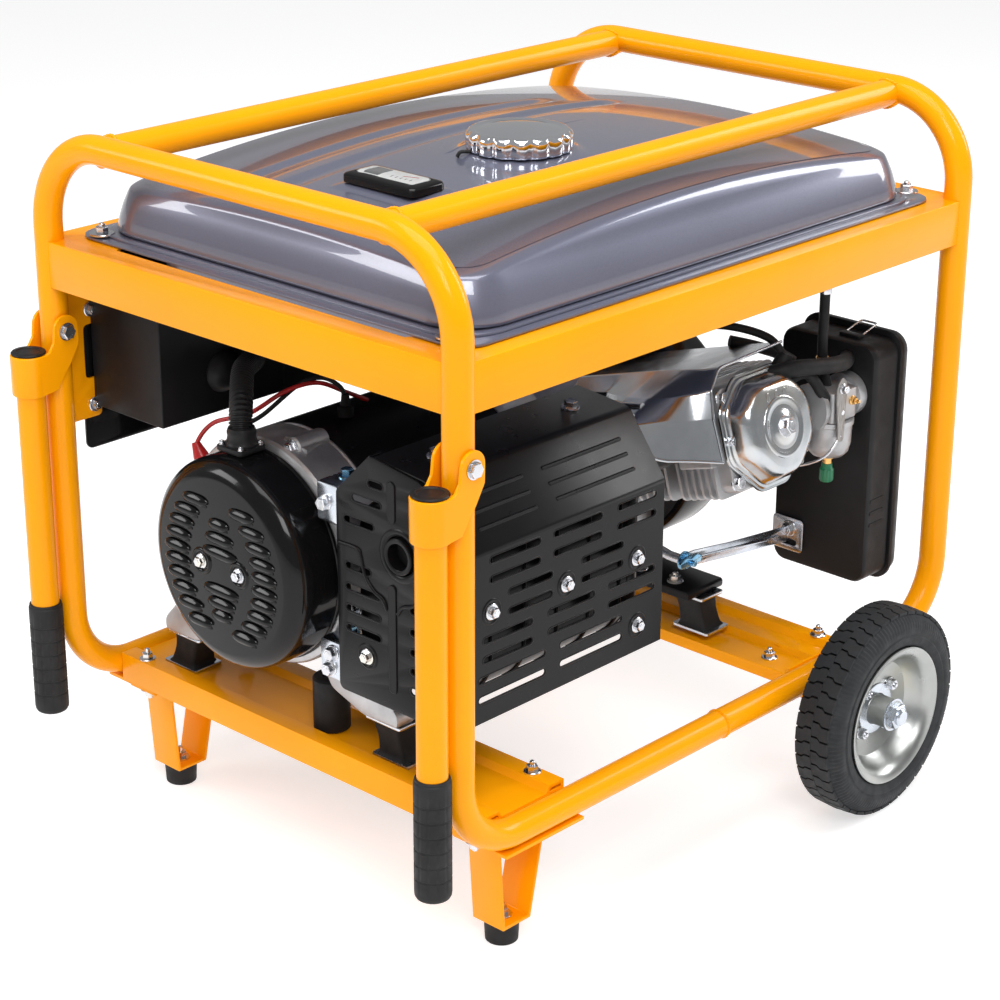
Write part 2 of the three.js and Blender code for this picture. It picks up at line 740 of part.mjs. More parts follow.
function fanHousing() {
  const profile = [[60, 0], [112, 0], [118, 8], [118, RECOIL_X - FAN_X - GAP], [106, RECOIL_X - FAN_X - GAP],
    [106, 12], [60, 12]];
  return turnedRing('x', profile, [FAN_X, 0, 0], 24);
}

// dished cover of the recoil starter, with the rope's exit boss on the panel side
function recoilHousing() {
  const depth = RECOIL_END - RECOIL_X;
  const profile = [
    [0, depth], [52, depth], [62, depth - 6], [70, 22], [108, 12], [112, 0],
    [104, 0], [100, 8], [64, 18], [56, depth - 8], [0, depth - 4],
  ];
  const shell = turned('x', profile, [RECOIL_X, 0, 0], 24);
  const boss = rod('y', 9, 58, 86, [RECOIL_X + 32, 0, 34], 12);
  return join(shell, boss);
}

// pull grip with the short end of rope that shows between it and the housing
function starterGrip() {
  const rope = rod('y', 2.5, -10 + GAP, 4, [0, 0, 0], 8);
  const stem = rod('y', 5, 2, 18, [0, 0, 0], 10);
  const bar = block(-8, 8, 12, 24, -28, 28);
  return join(rope, stem, bar);
}

function rotor() {
  const shaft = rod('x', SHAFT_R, COVER_FACE_X + 14, RECOIL_X + 8, [0, 0, 0], 16);
  const core = rod('x', 80, STATOR_X + 18, ADAPTOR_X - 18, [0, 0, 0], 24);
  return join(shaft, core);
}

function flywheel() {
  const profile = [
    [SHAFT_R + GAP, 16], [40, 16], [44, 24], [100, 24],
    [100, 44], [40, 44], [38, 54], [SHAFT_R + GAP, 54],
  ];
  return turnedRing('x', profile, [FAN_X, 0, 0], 24);
}

function engineBlock() {
  piece(engine, 'crankcase', castAluminium, crankcase());
  piece(cylinderFrame, 'cylinder_head', castAluminium, cylinderHead());
  piece(cylinderFrame, 'rocker_cover', chrome, rockerCover());
  piece(cylinderFrame, 'cylinder_shroud', zinc, airShroud());
  piece(engine, 'fan_housing', blackPaint, fanHousing());
  piece(engine, 'recoil_housing', blackPaint, recoilHousing());
  const puller = groupAt(engine, RECOIL_X + 32, 96, 34);
  piece(puller, 'starter_grip', blackPlastic, starterGrip());
  piece(engine, 'rotor', copper, rotor());
  piece(engine, 'flywheel', castAluminium, flywheel());
}

// ---------------------------------------------------------------- alternator

// vented dish over the brush end
function endCover() {
  const depth = BELL_X - GAP - COVER_FACE_X;
  const profile = [[0, 0], [82, 0], [92, 6], [COVER_R, 16], [COVER_R, depth], [COVER_R - 2.5, depth],
    [COVER_R - 2.5, 17], [90, 8.5], [81, 2.5], [0, 2.5]];
  return turned('x', profile, [COVER_FACE_X, 0, 0], 24);
}

// cast end frame with a bearing web and two splayed feet
function endBell() {
  const depth = STATOR_X - GAP - BELL_X;
  const profile = [
    [SHAFT_R + GAP, 6], [SHAFT_R + GAP, 22], [26, 22], [26, 12], [88, 12],
    [90, depth], [STATOR_R, depth], [STATOR_R, 4], [96, 0], [90, 0], [90, 6],
  ];
  const web = turnedRing('x', profile, [BELL_X, 0, 0], 24);
  const arm = (side) => {
    const outline = [
      [40, -70], [85, -50], [152, ENGINE_BASE + 12], [152, ENGINE_BASE],
      [110, ENGINE_BASE], [70, ENGINE_BASE + 14], [40, -94],
    ];
    return slab('yz', outline.map(([y, z]) => [side * y, z]), BELL_X + 8, BELL_X + 30);
  };
  return join(web, cut(join(arm(-1), arm(1)), rod('x', 92, BELL_X - 5, BELL_X + 60, [0, 0, 0], 24)));
}

function statorHousing() {
  const length = ADAPTOR_X - GAP - STATOR_X;
  const profile = [[STATOR_IN, 0], [STATOR_R, 0], [STATOR_R, length], [STATOR_IN, length]];
  return turnedRing('x', profile, [STATOR_X, 0, 0], 24);
}

function adaptor() {
  const depth = CRANKCASE_X - GAP - ADAPTOR_X;
  const profile = [
    [STATOR_IN, 0], [STATOR_R, 0], [STATOR_R, 10], [92, depth],
    [SHAFT_R + GAP, depth], [SHAFT_R + GAP, depth - 8], [80, depth - 8], [90, 10],
  ];
  return turnedRing('x', profile, [ADAPTOR_X, 0, 0], 24);
}

// corrugated cable conduit from the end cover up into the control box, with its gland
function conduit() {
  const foot = COVER_R + GAP + 1;
  const route = new THREE.CatmullRomCurve3([
    new THREE.Vector3(-290, 8, foot + 1),
    new THREE.Vector3(-290, 9, foot + 18),
    new THREE.Vector3(-278, 21, foot + 36),
    new THREE.Vector3(-245, 55, foot + 48),
    new THREE.Vector3(-206, 86, 138),
    new THREE.Vector3(-198, 98, 138),
    new THREE.Vector3(-198, 109.4, 138),
  ]);
  const hose = tubeAlong(route, 10.5, 16, 10);
  const gland = block(-306, -276, -8, 24, foot, foot + 5);
  const boot = turned('z', [[0, 0], [14, 0], [12, 16], [0, 16]], [-290, 8, foot + 2], 12);
  return join(hose, gland, boot);
}

function alternator() {
  piece(engine, 'alternator_end_cover', blackPaint, endCover());
  piece(engine, 'alternator_end_bell', castAluminium, endBell());
  piece(engine, 'alternator_stator', blackPaint, statorHousing());
  piece(engine, 'alternator_adaptor', castAluminium, adaptor());
  piece(engine, 'cable_conduit', rubber, conduit());
}

// ---------------------------------------------------------------- rubber mounts

// bonded rubber block between a foot plate on the tray and a top plate, leaning inwards
function rubberMount(lean, height) {
  const foot = block(-17, 17, -22, 22, 0, 3);
  const topPlate = block(-17, 17, lean - 22, lean + 22, height - 3, height);
  const wedge = slab('yz', [[-16, 2], [16, 2], [lean + 16, height - 2], [lean - 16, height - 2]], -15, 15);
  return join(foot, wedge, topPlate);
}

function mounts() {
  const low = TRAY_TOP - 6 + GAP;
  const top = SHAFT_Z + ENGINE_BASE - GAP;
  const engineTray = 135 + GAP;
  onBothSides((side, name) => {
    const lean = -side * 8;
    piece(generator, `alternator_mount_${name}`, rubber, rubberMount(lean, top - low),
      [BELL_X + 28, SHAFT_Y + side * 130 - lean, low]);
    const engineY = side < 0 ? -104 : 145;
    piece(generator, `engine_mount_${name}`, rubber, rubberMount(lean, top - engineTray),
      [142, engineY - lean, engineTray]);
  });
}

// ---------------------------------------------------------------- carburettor and air box

function carburettor() {
  const venturi = rod('x', 17, 182.5, AIR_BOX_X - GAP, [0, 0, 0], 16);
  const body = block(194, 232, -24, 20, -14, 16);
  const bowl = turned('z', [[0, -52], [16, -52], [22, -46], [23, -14], [0, -14]], [213, -4, 0], 16);
  const drain = rod('z', 7, -78, -50, [213, -4, 0], 8);
  return join(venturi, body, bowl, drain);
}

function airBox() {
  const outline = roundedRectangle(-222, -114, 176, 414, 14, 3);
  const inner = roundedRectangle(-219.5, -116.5, 178.5, 411.5, 12, 3);
  const body = slab('yz', outline, AIR_BOX_X, AIR_LID_X - GAP);
  return cut(body, slab('yz', inner, AIR_BOX_X + 2.5, AIR_LID_X + 5));
}

function airLid() {
  const outline = roundedRectangle(-225, -111, 170, 420, 18, 3);
  const inner = roundedRectangle(-222.5, -113.5, 172.5, 417.5, 16, 3);
  const body = slab('yz', outline, AIR_LID_X, AIR_END_X);
  return cut(body, slab('yz', inner, AIR_LID_X - 5, AIR_END_X - 2.5));
}

function airFilter() {
  return slab('yz', roundedRectangle(-212, -124, 250, 390, 8, 2), AIR_BOX_X + 12, AIR_END_X - 6);
}

// angle bracket that holds the foot of the air box to the crankcase
function airBracket() {
  const plate = block(AIR_BOX_X - 2.8, AIR_BOX_X - GAP, -152, -116, 190, 224);
  const footX = FAN_X + GAP;
  const armOutline = [[footX, 216], [AIR_BOX_X - 1, 204], [AIR_BOX_X - 1, 208], [footX, 230]];
  const arm = slab('xz', armOutline, -121, -118);
  const foot = block(167, 175, -121, -96, 214, 232);
  return join(plate, arm, foot);
}

function airCleaner() {
  piece(generator, 'carburettor', castAluminium, carburettor(), [0, -195, 366]);
  piece(generator, 'air_box', blackPlastic, airBox());
  piece(generator, 'air_box_lid', blackPlastic, airLid());
  piece(generator, 'air_filter', foam, airFilter());
  piece(generator, 'air_box_bracket', zinc, airBracket());
}

// ---------------------------------------------------------------- muffler

function mufflerBody() {
  const outline = roundedRectangle(-205, -82, 226, 388, 36, 3);
  const can = slab('yz', outline, -284, -62);
  const outlet = rod('x', 16, -298, -280, [0, -146, 350], 16);
  const inlet = rod('x', 15, -66, 50, [0, -150, 352], 16);
  return join(can, outlet, inlet);
}

// slots of a guard: rounded bars, cut through the sheet
function slot(u0, u1, v, half) {
  return [...arc(u1, v, half, -90, 90, 3), ...arc(u0, v, half, 90, 270, 3)];
}

function mufflerEndGuard() {
  const x = MUFFLER_END_X;
  const outline = [[-72, 224], [-72, 388], [-112, 428], [-172, 419], [-212, 364], [-212, 209], [-86, 209]];
  const holes = [arc(-146, 350, 17, 0, 345, 15)];
  for (const z of [234, 252, 269, 287, 306]) {
    holes.push(slot(-202, -160, z, SLOT_HALF));
    if (z > 260) holes.push(slot(-120, -85, z, SLOT_HALF));
  }
  for (const [from, to, z] of [[-109, -85, 325], [-113, -84, 366], [-122, -94, 387], [-124, -113, 404]]) {
    holes.push(slot(from, to, z, SLOT_HALF));
    if (z > 380) holes.push(slot(-184 + (z - 387) * 0.7, -160, z, SLOT_HALF));
  }
  const face = slab('yz', outline, x, x + 1.5, holes);
  const rimLine = [[-72, 224], [-72, 388], [-112, 428]];
  const flange = slab('yz', foldedSheet(rimLine, 1.5), x, x + 14);
  return join(face, flange);
}

function mufflerSideGuard() {
  const left = MUFFLER_END_X + 2;
  const right = -46;
  const profile = foldedSheet([[-115, 427], [-174, 421], [MUFFLER_SIDE_Y, 364], [MUFFLER_SIDE_Y, 216]], 1.5);
  const sheet = slab('yz', profile, left, right);
  const cutters = [];
  const pairs = [
    [[-273, -199], [-175, -102]],
    [[-268, -215], [-190, -138], [-114, -60]],
    [[-238, -191], [-149, -102]],
    [[-260, -206], [-184, -130], [-104, -60]],
  ];
  pairs.forEach((spans, pair) => {
    for (const row of [2 * pair, 2 * pair + 1]) {
      for (const [from, to] of spans) {
        const outline = slot(from, to, 237 + 17.1 * row, SLOT_HALF);
        cutters.push(slab('xz', outline, MUFFLER_SIDE_Y - 5, MUFFLER_SIDE_Y + 5));
      }
    }
  });
  return cut(sheet, ...cutters);
}

function muffler() {
  piece(generator, 'muffler', blackPaint, mufflerBody());
  piece(generator, 'muffler_end_guard', blackPaint, mufflerEndGuard());
  piece(generator, 'muffler_side_guard', blackPaint, mufflerSideGuard());
}

// ---------------------------------------------------------------- control panel

function controlBox() {
  const body = block(-292, PANEL_RIGHT - 10, 150, PANEL_Y - GAP, 384, 486);
  const inner = block(-289.5, PANEL_RIGHT - 12.5, 152.5, PANEL_Y + 5, 386.5, 483.5);
  const notch = block(-295, -284, PANEL_Y - 2 * GAP - SHEET, PANEL_Y + 1, 370, 504);
  return cut(body, inner, notch);
}

// panel plate with its two socket bodies and the meter bezel
function controlPanel() {
  const outline = roundedRectangle(PANEL_LEFT, PANEL_RIGHT, 342, 534, 6, 2);
  const plate = slab('xz', outline, PANEL_Y, PANEL_FRONT);
  const sockets = SOCKETS_X.map((x) => rod('y', 26, PANEL_Y + 1, PANEL_FRONT + 9, [x, 0, SOCKET_Z], 20));
  const wells = SOCKETS_X.map((x) => rod('y', 20, PANEL_FRONT - 1, PANEL_FRONT + 12, [x, 0, SOCKET_Z], 16));
  const bezel = block(-205, -155, PANEL_Y + 1, PANEL_FRONT + 6, 440, 480);
  return cut(join(plate, ...sockets, bezel), ...wells);
}

// spring lid of a socket, hinged along its top edge
function socketLid() {
  const disc = rod('y', 25, 9 + GAP, 14, [0, 0, 0], 20);
  const hinge = rod('x', 3, -12, 12, [0, 9 + GAP + 3, 27], 8);
  return join(disc, hinge);
}

function engineSwitch() {
  const knob = rod('y', 12, GAP, 12, [0, 0, 0], 16);
  const bar = block(-3, 3, 10, 20, -11, 11);
  return join(knob, bar);
}

// toggle of the main breaker on its pivot barrel
function breakerToggle() {
  const barrel = rod('x', 5, -8, 8, [0, 5.5, 0], 12);
  const toggle = block(-5, 5, 6, 20, -3.5, 3.5);
  return join(barrel, toggle);
}

function controls() {
  const group = groupAt(generator, 0, 0, 0);
  piece(group, 'control_box', blackPlastic, controlBox());
  piece(group, 'control_panel', blackPlastic, controlPanel());
  SOCKETS_X.forEach((x, i) => {
    piece(group, `socket_lid_${i + 1}`, blackPlastic, socketLid(), [x, PANEL_FRONT, SOCKET_Z]);
  });
  piece(group, 'engine_switch', blackPlastic, engineSwitch(), [-245, PANEL_FRONT, SOCKET_Z]);
  piece(group, 'breaker_toggle', blackPlastic, breakerToggle(), [-125, PANEL_FRONT, SOCKET_Z]);
}

// ---------------------------------------------------------------- whole object

frame();
undercarriage();
wheels();
handles();
tank();
engineBlock();
alternator();
mounts();
airCleaner();
muffler();
controls();

export default generator;
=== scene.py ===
"""Looks of the portable generator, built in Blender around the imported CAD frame.

Lengths are millimetres in the design frame: the row's frame with X measured from the middle of the
tube frame. The helpers turn them into metres in the row's frame. Angles are degrees where a call
takes them as numbers, radians in the sums.
"""
import json
import math

import bmesh
import bpy
from mathutils import Matrix, Vector

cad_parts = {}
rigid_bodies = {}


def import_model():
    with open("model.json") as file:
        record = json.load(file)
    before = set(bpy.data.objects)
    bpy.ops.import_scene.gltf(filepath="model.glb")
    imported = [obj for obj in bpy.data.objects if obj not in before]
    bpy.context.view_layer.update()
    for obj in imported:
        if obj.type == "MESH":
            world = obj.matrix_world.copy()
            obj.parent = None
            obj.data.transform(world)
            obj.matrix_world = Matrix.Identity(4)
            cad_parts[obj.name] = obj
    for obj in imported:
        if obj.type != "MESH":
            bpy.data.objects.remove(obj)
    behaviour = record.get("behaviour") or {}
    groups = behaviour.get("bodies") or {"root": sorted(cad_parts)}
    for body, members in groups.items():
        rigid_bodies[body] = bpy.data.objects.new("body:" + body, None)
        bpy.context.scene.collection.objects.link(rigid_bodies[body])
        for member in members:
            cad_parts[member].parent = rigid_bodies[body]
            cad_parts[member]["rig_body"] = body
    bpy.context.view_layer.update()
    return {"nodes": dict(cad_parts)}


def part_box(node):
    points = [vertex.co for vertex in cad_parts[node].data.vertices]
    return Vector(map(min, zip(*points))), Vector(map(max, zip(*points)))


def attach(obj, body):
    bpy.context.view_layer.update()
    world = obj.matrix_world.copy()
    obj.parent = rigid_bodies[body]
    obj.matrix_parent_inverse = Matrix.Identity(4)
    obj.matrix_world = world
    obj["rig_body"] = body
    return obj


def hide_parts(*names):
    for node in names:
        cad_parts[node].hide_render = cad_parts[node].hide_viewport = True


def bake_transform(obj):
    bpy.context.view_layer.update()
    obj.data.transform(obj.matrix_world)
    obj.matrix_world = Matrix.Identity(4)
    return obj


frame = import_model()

MM = 0.001

# ------------------------------------------------------------------ frame measures


def to_row(point):
    return Vector((point[0] + MID_X, point[1], point[2])) * MM


def span(node):
    """Lowest and highest corner of a CAD node, in the design frame."""
    low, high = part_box(node)
    offset = Vector((MID_X, 0, 0))
    return low / MM - offset, high / MM - offset


def middle(node):
    low, high = span(node)
    return (low + high) / 2


MID_X = 0
MID_X = middle("top_rail_muffler_side").x

RAIL_LOW, RAIL_HIGH = span("top_rail_muffler_side")
TUBE_R = (RAIL_HIGH.z - RAIL_LOW.z) / 2
HOOP_LOW, HOOP_HIGH = span("hoop_wheel_end")
POST_X = HOOP_HIGH.x - TUBE_R
POST_Y = HOOP_HIGH.y - TUBE_R
CROSS_Z = HOOP_HIGH.z - TUBE_R
BASE_Z = HOOP_LOW.z + TUBE_R
TOP_BEND = 77
BASE_BEND = 65
RAIL_Y = -middle("top_rail_muffler_side").y
RAIL_Z = middle("top_rail_muffler_side").z
SIDES = {"muffler_side": -1, "panel_side": 1}

# ------------------------------------------------------------------ camera, light and floor

CAMERA_TURN = math.radians(-46.91)
CAMERA_RISE = math.radians(21.51)
CAMERA_ROLL = math.radians(0.19)
CAMERA_PLACE = Vector((-1.5984, -1.4914, 1.1415))
CAMERA_LENS = 91.392


def make_camera():
    data = bpy.data.cameras.new("studio_camera")
    data.lens = CAMERA_LENS
    data.sensor_width = 36
    data.clip_end = 50
    camera = bpy.data.objects.new("studio_camera", data)
    bpy.context.scene.collection.objects.link(camera)
    back = Vector((
        math.sin(CAMERA_TURN) * math.cos(CAMERA_RISE),
        -math.cos(CAMERA_TURN) * math.cos(CAMERA_RISE),
        math.sin(CAMERA_RISE),
    ))
    level = Vector((math.cos(CAMERA_TURN), math.sin(CAMERA_TURN), 0))
    up = back.cross(level)
    right = math.cos(CAMERA_ROLL) * level + math.sin(CAMERA_ROLL) * up
    top = math.cos(CAMERA_ROLL) * up - math.sin(CAMERA_ROLL) * level
    camera.matrix_world = Matrix((
        (right.x, top.x, back.x, CAMERA_PLACE.x),
        (right.y, top.y, back.y, CAMERA_PLACE.y),
        (right.z, top.z, back.z, CAMERA_PLACE.z),
        (0, 0, 0, 1),
    ))
    bpy.context.scene.camera = camera


def area_light(name, place, target, size, power):
    data = bpy.data.lights.new(name, "AREA")
    data.shape = "RECTANGLE"
    data.size, data.size_y = size
    data.energy = power
    light = bpy.data.objects.new(name, data)
    bpy.context.scene.collection.objects.link(light)
    light.location = place
    direction = Vector(target) - Vector(place)
    light.rotation_euler = direction.to_track_quat("-Z", "Y").to_euler()


def make_studio():
    world = bpy.data.worlds.new("studio")
    bpy.context.scene.world = world
    world.use_nodes = True
    background = world.node_tree.nodes["Background"]
    background.inputs["Color"].default_value = (1, 1, 1, 1)
    background.inputs["Strength"].default_value = 0.36
    bpy.context.scene.view_settings.view_transform = "Standard"
    middle_of_object = (0, 0, 0.3)
    area_light("key_softbox", (-2.2, -2.6, 3.2), middle_of_object, (1.6, 1.6), 80)
    area_light("top_softbox", (-0.5, -0.4, 2.9), middle_of_object, (2.4, 1.6), 62)
    area_light("rim_softbox", (2.8, -1.4, 1.8), middle_of_object, (0.9, 1.8), 42)
    area_light("back_softbox", (-2.6, 2.4, 1.9), middle_of_object, (1.4, 1.0), 34)
    bm = bmesh.new()
    bmesh.ops.create_grid(bm, x_segments=1, y_segments=1, size=40)
    mesh = bpy.data.meshes.new("floor")
    bm.to_mesh(mesh)
    bm.free()
    floor = bpy.data.objects.new("floor", mesh)
    bpy.context.scene.collection.objects.link(floor)
    material = bpy.data.materials.new("floor_white")
    material.use_nodes = True
    shader = material.node_tree.nodes["Principled BSDF"]
    shader.inputs["Base Color"].default_value = (0.62, 0.62, 0.625, 1)
    shader.inputs["Roughness"].default_value = 0.55
    shader.inputs["Emission Color"].default_value = (1, 1, 1, 1)
    shader.inputs["Emission Strength"].default_value = 0.6
    mesh.materials.append(material)


make_camera()
make_studio()

# ------------------------------------------------------------------ materials


class Look:
    """A material whose colour, roughness and bump come from procedural noise."""

    def __init__(self, name, slot, roughness, metallic=0.0, coat=0.0, coat_roughness=0.05, specular=0.5):
        self.slot = slot
        self.material = bpy.data.materials.new(name)
        self.material.use_nodes = True
        self.tree = self.material.node_tree
        self.shader = self.tree.nodes["Principled BSDF"]
        self.shader.inputs["Roughness"].default_value = roughness
        self.shader.inputs["Metallic"].default_value = metallic
        self.shader.inputs["Coat Weight"].default_value = coat
        self.shader.inputs["Coat Roughness"].default_value = coat_roughness
        self.shader.inputs["Specular IOR Level"].default_value = specular
        self.coordinates = self.add("ShaderNodeTexCoord")
        self.bump_from = None

    def add(self, kind, **inputs):
        node = self.tree.nodes.new(kind)
        for key, value in inputs.items():
            node.inputs[key.replace("_", " ")].default_value = value
        return node

    def link(self, source, target):
        self.tree.links.new(source, target)

    def place(self, stretch=(1, 1, 1)):
        mapping = self.add("ShaderNodeMapping")
        mapping.inputs["Scale"].default_value = stretch
        self.link(self.coordinates.outputs["Object"], mapping.inputs["Vector"])
        return mapping.outputs["Vector"]

    def noise(self, scale, detail=4, roughness=0.55, stretch=(1, 1, 1)):
        node = self.add("ShaderNodeTexNoise", Scale=scale, Detail=detail, Roughness=roughness)
        self.link(self.place(stretch), node.inputs["Vector"])
        return node.outputs["Fac"]

    def cells(self, scale):
        node = self.add("ShaderNodeTexVoronoi", Scale=scale)
        self.link(self.place(), node.inputs["Vector"])
        return node.outputs["Distance"]

    def ramp(self, source, stops):
        node = self.add("ShaderNodeValToRGB")
        ramp = node.color_ramp
        while len(ramp.elements) < len(stops):
            ramp.elements.new(0.5)
        for element, (place, colour) in zip(ramp.elements, stops):
            element.position = place
            element.color = (*colour, 1)
        self.link(source, node.inputs["Fac"])
        return node.outputs["Color"]

    def colour(self, source, stops):
        self.link(self.ramp(source, stops), self.shader.inputs["Base Color"])
        return self

    def rough(self, source, low, high):
        node = self.add("ShaderNodeMapRange", From_Min=0.3, From_Max=0.7, To_Min=low, To_Max=high)
        self.link(source, node.inputs["Value"])
        self.link(node.outputs["Result"], self.shader.inputs["Roughness"])
        return self

    def bump(self, source, strength, distance):
        node = self.add("ShaderNodeBump", Strength=strength, Distance=distance)
        self.link(source, node.inputs["Height"])
        if self.bump_from is not None:
            self.link(self.bump_from, node.inputs["Normal"])
        self.bump_from = node.outputs["Normal"]
        self.link(self.bump_from, self.shader.inputs["Normal"])
        return self


def shades(colour, low=0.9, high=1.08):
    """Three steps of one colour, for slow variation over a surface."""
    return [(0.3, tuple(c * low for c in colour)), (0.5, colour), (0.72, tuple(min(1, c * high) for c in colour))]


def make_look(name, slot, roughness, colour, rough=None, bumps=(), **surface):
    """A look from noise: the scale, detail and shades of its colour, the scale, detail and range of its
    roughness, and for each bump the scale, detail, strength and height in metres.
    """
    look = Look(name, slot, roughness, **surface)
    scale, detail, stops = colour
    look.colour(look.noise(scale, detail), stops)
    if rough:
        scale, detail, low, high = rough
        look.rough(look.noise(scale, detail), low, high)
    for scale, detail, strength, height in bumps:
        look.bump(look.noise(scale, detail), strength, height)
    return look


def zinc_plate(name, tint, warm, low, high):
    stops = [(0.3, tuple(0.86 * c for c in tint)), (0.55, tint), (0.8, warm)]
    return make_look(name, "zinc", 0.2, (18, 5, stops), (55, 4, low, high), [(420, 3, 0.06, 0.0004)], metallic=1.0)


def machined_steel():
    look = Look("machined_steel", "rotor_steel", 0.4, metallic=0.8)
    look.colour(look.noise(90, 3, stretch=(6, 1, 1)), shades((0.3, 0.29, 0.28), 0.7, 1.3))
    return look.bump(look.noise(500, 2, stretch=(8, 1, 1)), 0.3, 0.0005)


def filter_foam():
    look = Look("filter_foam", "foam", 0.95, specular=0.2)
    pores = [(0.1, (0.012, 0.012, 0.013)), (0.5, (0.05, 0.05, 0.053)), (0.9, (0.09, 0.09, 0.09))]
    look.colour(look.cells(700), pores)
    return look.bump(look.cells(700), 0.8, 0.001)


YELLOW = make_look("yellow_powder_coat", "frame_paint", 0.2, (6, 4, shades((0.93, 0.345, 0.0015), 0.95, 1.04)),
                   (28, 4, 0.18, 0.26), [(900, 2, 0.05, 0.0004), (120, 3, 0.05, 0.001)],
                   coat=0.08, coat_roughness=0.05, specular=0.12)
TANK = make_look("grey_violet_metallic", "tank_paint", 0.2, (5, 4, shades((0.128, 0.134, 0.19), 0.94, 1.06)),
                 (3200, 2, 0.24, 0.36), [(14, 2, 0.03, 0.003)], metallic=0.35, coat=1.0, coat_roughness=0.03)
GLOSS = make_look("black_gloss_paint", "black_paint", 0.12, (9, 4, shades((0.005, 0.005, 0.0055), 0.8, 1.3)),
                  (40, 4, 0.1, 0.2), [(500, 2, 0.05, 0.0003)], coat=0.2, coat_roughness=0.03, specular=0.14)
SATIN = make_look("black_satin_paint", "black_paint", 0.3, (12, 4, shades((0.006, 0.006, 0.0068), 0.8, 1.25)),
                  (60, 4, 0.27, 0.31), [(1300, 2, 0.04, 0.0003)], specular=0.17)
PLASTIC = make_look("moulded_black_plastic", "black_plastic", 0.42,
                    (10, 4, shades((0.01, 0.0102, 0.0112), 0.85, 1.2)), (70, 4, 0.36, 0.52),
                    [(2200, 2, 0.2, 0.0003)], specular=0.22)
RUBBER = make_look("black_rubber", "rubber", 0.62, (24, 4, shades((0.012, 0.012, 0.0125), 0.75, 1.4)),
                   (90, 4, 0.5, 0.72), [(1500, 3, 0.25, 0.0003)], specular=0.28)
TYRE = make_look("tyre_rubber", "tyre", 0.68, (30, 4, shades((0.014, 0.0155, 0.0175), 0.8, 1.35)),
                 (110, 4, 0.58, 0.8), [(900, 3, 0.3, 0.0004)], specular=0.4)
ZINC = zinc_plate("bright_zinc", (0.66, 0.67, 0.7), (0.78, 0.7, 0.5), 0.16, 0.32)
PLATED = zinc_plate("blue_zinc", (0.6, 0.64, 0.7), (0.68, 0.7, 0.72), 0.16, 0.32)
DISC = zinc_plate("disc_zinc", (0.4, 0.41, 0.4), (0.46, 0.43, 0.33), 0.26, 0.36)
DUCT = zinc_plate("duct_zinc", (0.5, 0.52, 0.55), (0.54, 0.53, 0.5), 0.17, 0.24)
BLUED = zinc_plate("blued_zinc", (0.2, 0.42, 0.62), (0.3, 0.5, 0.6), 0.16, 0.32)
CHROME = make_look("polished_chrome", "chrome", 0.07, (8, 4, shades((0.74, 0.76, 0.8), 0.92, 1.05)),
                   (25, 4, 0.05, 0.12), [(30, 2, 0.02, 0.001)], metallic=1.0)
PRESSED = make_look("pressed_chrome", "chrome", 0.14,
                    (16, 4, [(0.3, (0.36, 0.4, 0.42)), (0.5, (0.52, 0.54, 0.56)), (0.75, (0.56, 0.52, 0.45))]),
                    (40, 4, 0.13, 0.22), [(60, 3, 0.04, 0.001)], metallic=1.0)
CAST = make_look("sand_cast_aluminium", "cast_aluminium", 0.42, (22, 6, shades((0.5, 0.5, 0.51), 0.78, 1.2)),
                 (60, 4, 0.36, 0.56), [(650, 5, 0.35, 0.0006)], metallic=0.85)
CAST.bump(CAST.cells(900), 0.12, 0.0004)
STEEL = machined_steel()
FOAM = filter_foam()
RED = make_look("red_insulation", "rubber", 0.35, (40, 4, shades((0.5, 0.012, 0.012), 0.85, 1.15)),
                bumps=[(900, 2, 0.1, 0.0003)])
BRASS = make_look("brass", "cast_aluminium", 0.28, (60, 4, shades((0.78, 0.46, 0.16), 0.85, 1.12)),
                  (120, 4, 0.2, 0.36), [(700, 2, 0.08, 0.0003)], metallic=1.0)
GREEN = make_look("green_cap", "black_plastic", 0.35, (40, 4, shades((0.01, 0.16, 0.07), 0.85, 1.15)),
                  bumps=[(900, 2, 0.1, 0.0003)])
LENS = make_look("clear_lens", "black_plastic", 0.04, (20, 4, shades((0.92, 0.94, 0.95), 0.97, 1.03)))
LENS.shader.inputs["Transmission Weight"].default_value = 0.9
LENS.shader.inputs["IOR"].default_value = 1.45
PALE = make_look("dial_white", "black_plastic", 0.4, (60, 4, shades((0.78, 0.78, 0.76), 0.95, 1.05)),
                 bumps=[(900, 2, 0.05, 0.0003)])

# ------------------------------------------------------------------ mesh helpers


def body_of(node):
    return frame["nodes"][node]["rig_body"]


def dress(obj, look, body, replaced=()):
    """Links a finished piece: its material, the body it rides on and the CAD nodes it stands for."""
    obj.data.materials.clear()
    obj.data.materials.append(look.material)
    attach(obj, body)
    if replaced:
        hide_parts(*replaced)
    return obj


def smooth(obj, degrees=35):
    obj.data.polygons.foreach_set("use_smooth", [True] * len(obj.data.polygons))
    obj.data.set_sharp_from_angle(angle=math.radians(degrees))
    return obj


def link(bm, name):
    """A linked object from a bmesh in metres."""
    mesh = bpy.data.meshes.new(name)
    bm.to_mesh(mesh)
    bm.free()
    obj = bpy.data.objects.new(name, mesh)
    bpy.context.scene.collection.objects.link(obj)
    return obj


def from_bmesh(bm, name):
    """A linked object from a bmesh in design millimetres."""
    for vertex in bm.verts:
        vertex.co = to_row(vertex.co)
    return link(bm, name)


def piece(bm, name, look, degrees=35, replaced=(), body=None):
    """A finished piece from a bmesh in design millimetres."""
    return dress(smooth(from_bmesh(bm, name), degrees), look, body or ROOT, replaced)


def skin(bm, name, look, degrees=35, replaced=(), body=None):
    """A finished piece whose faces are first turned outwards."""
    bmesh.ops.recalc_face_normals(bm, faces=bm.faces)
    return piece(bm, name, look, degrees, replaced, body)


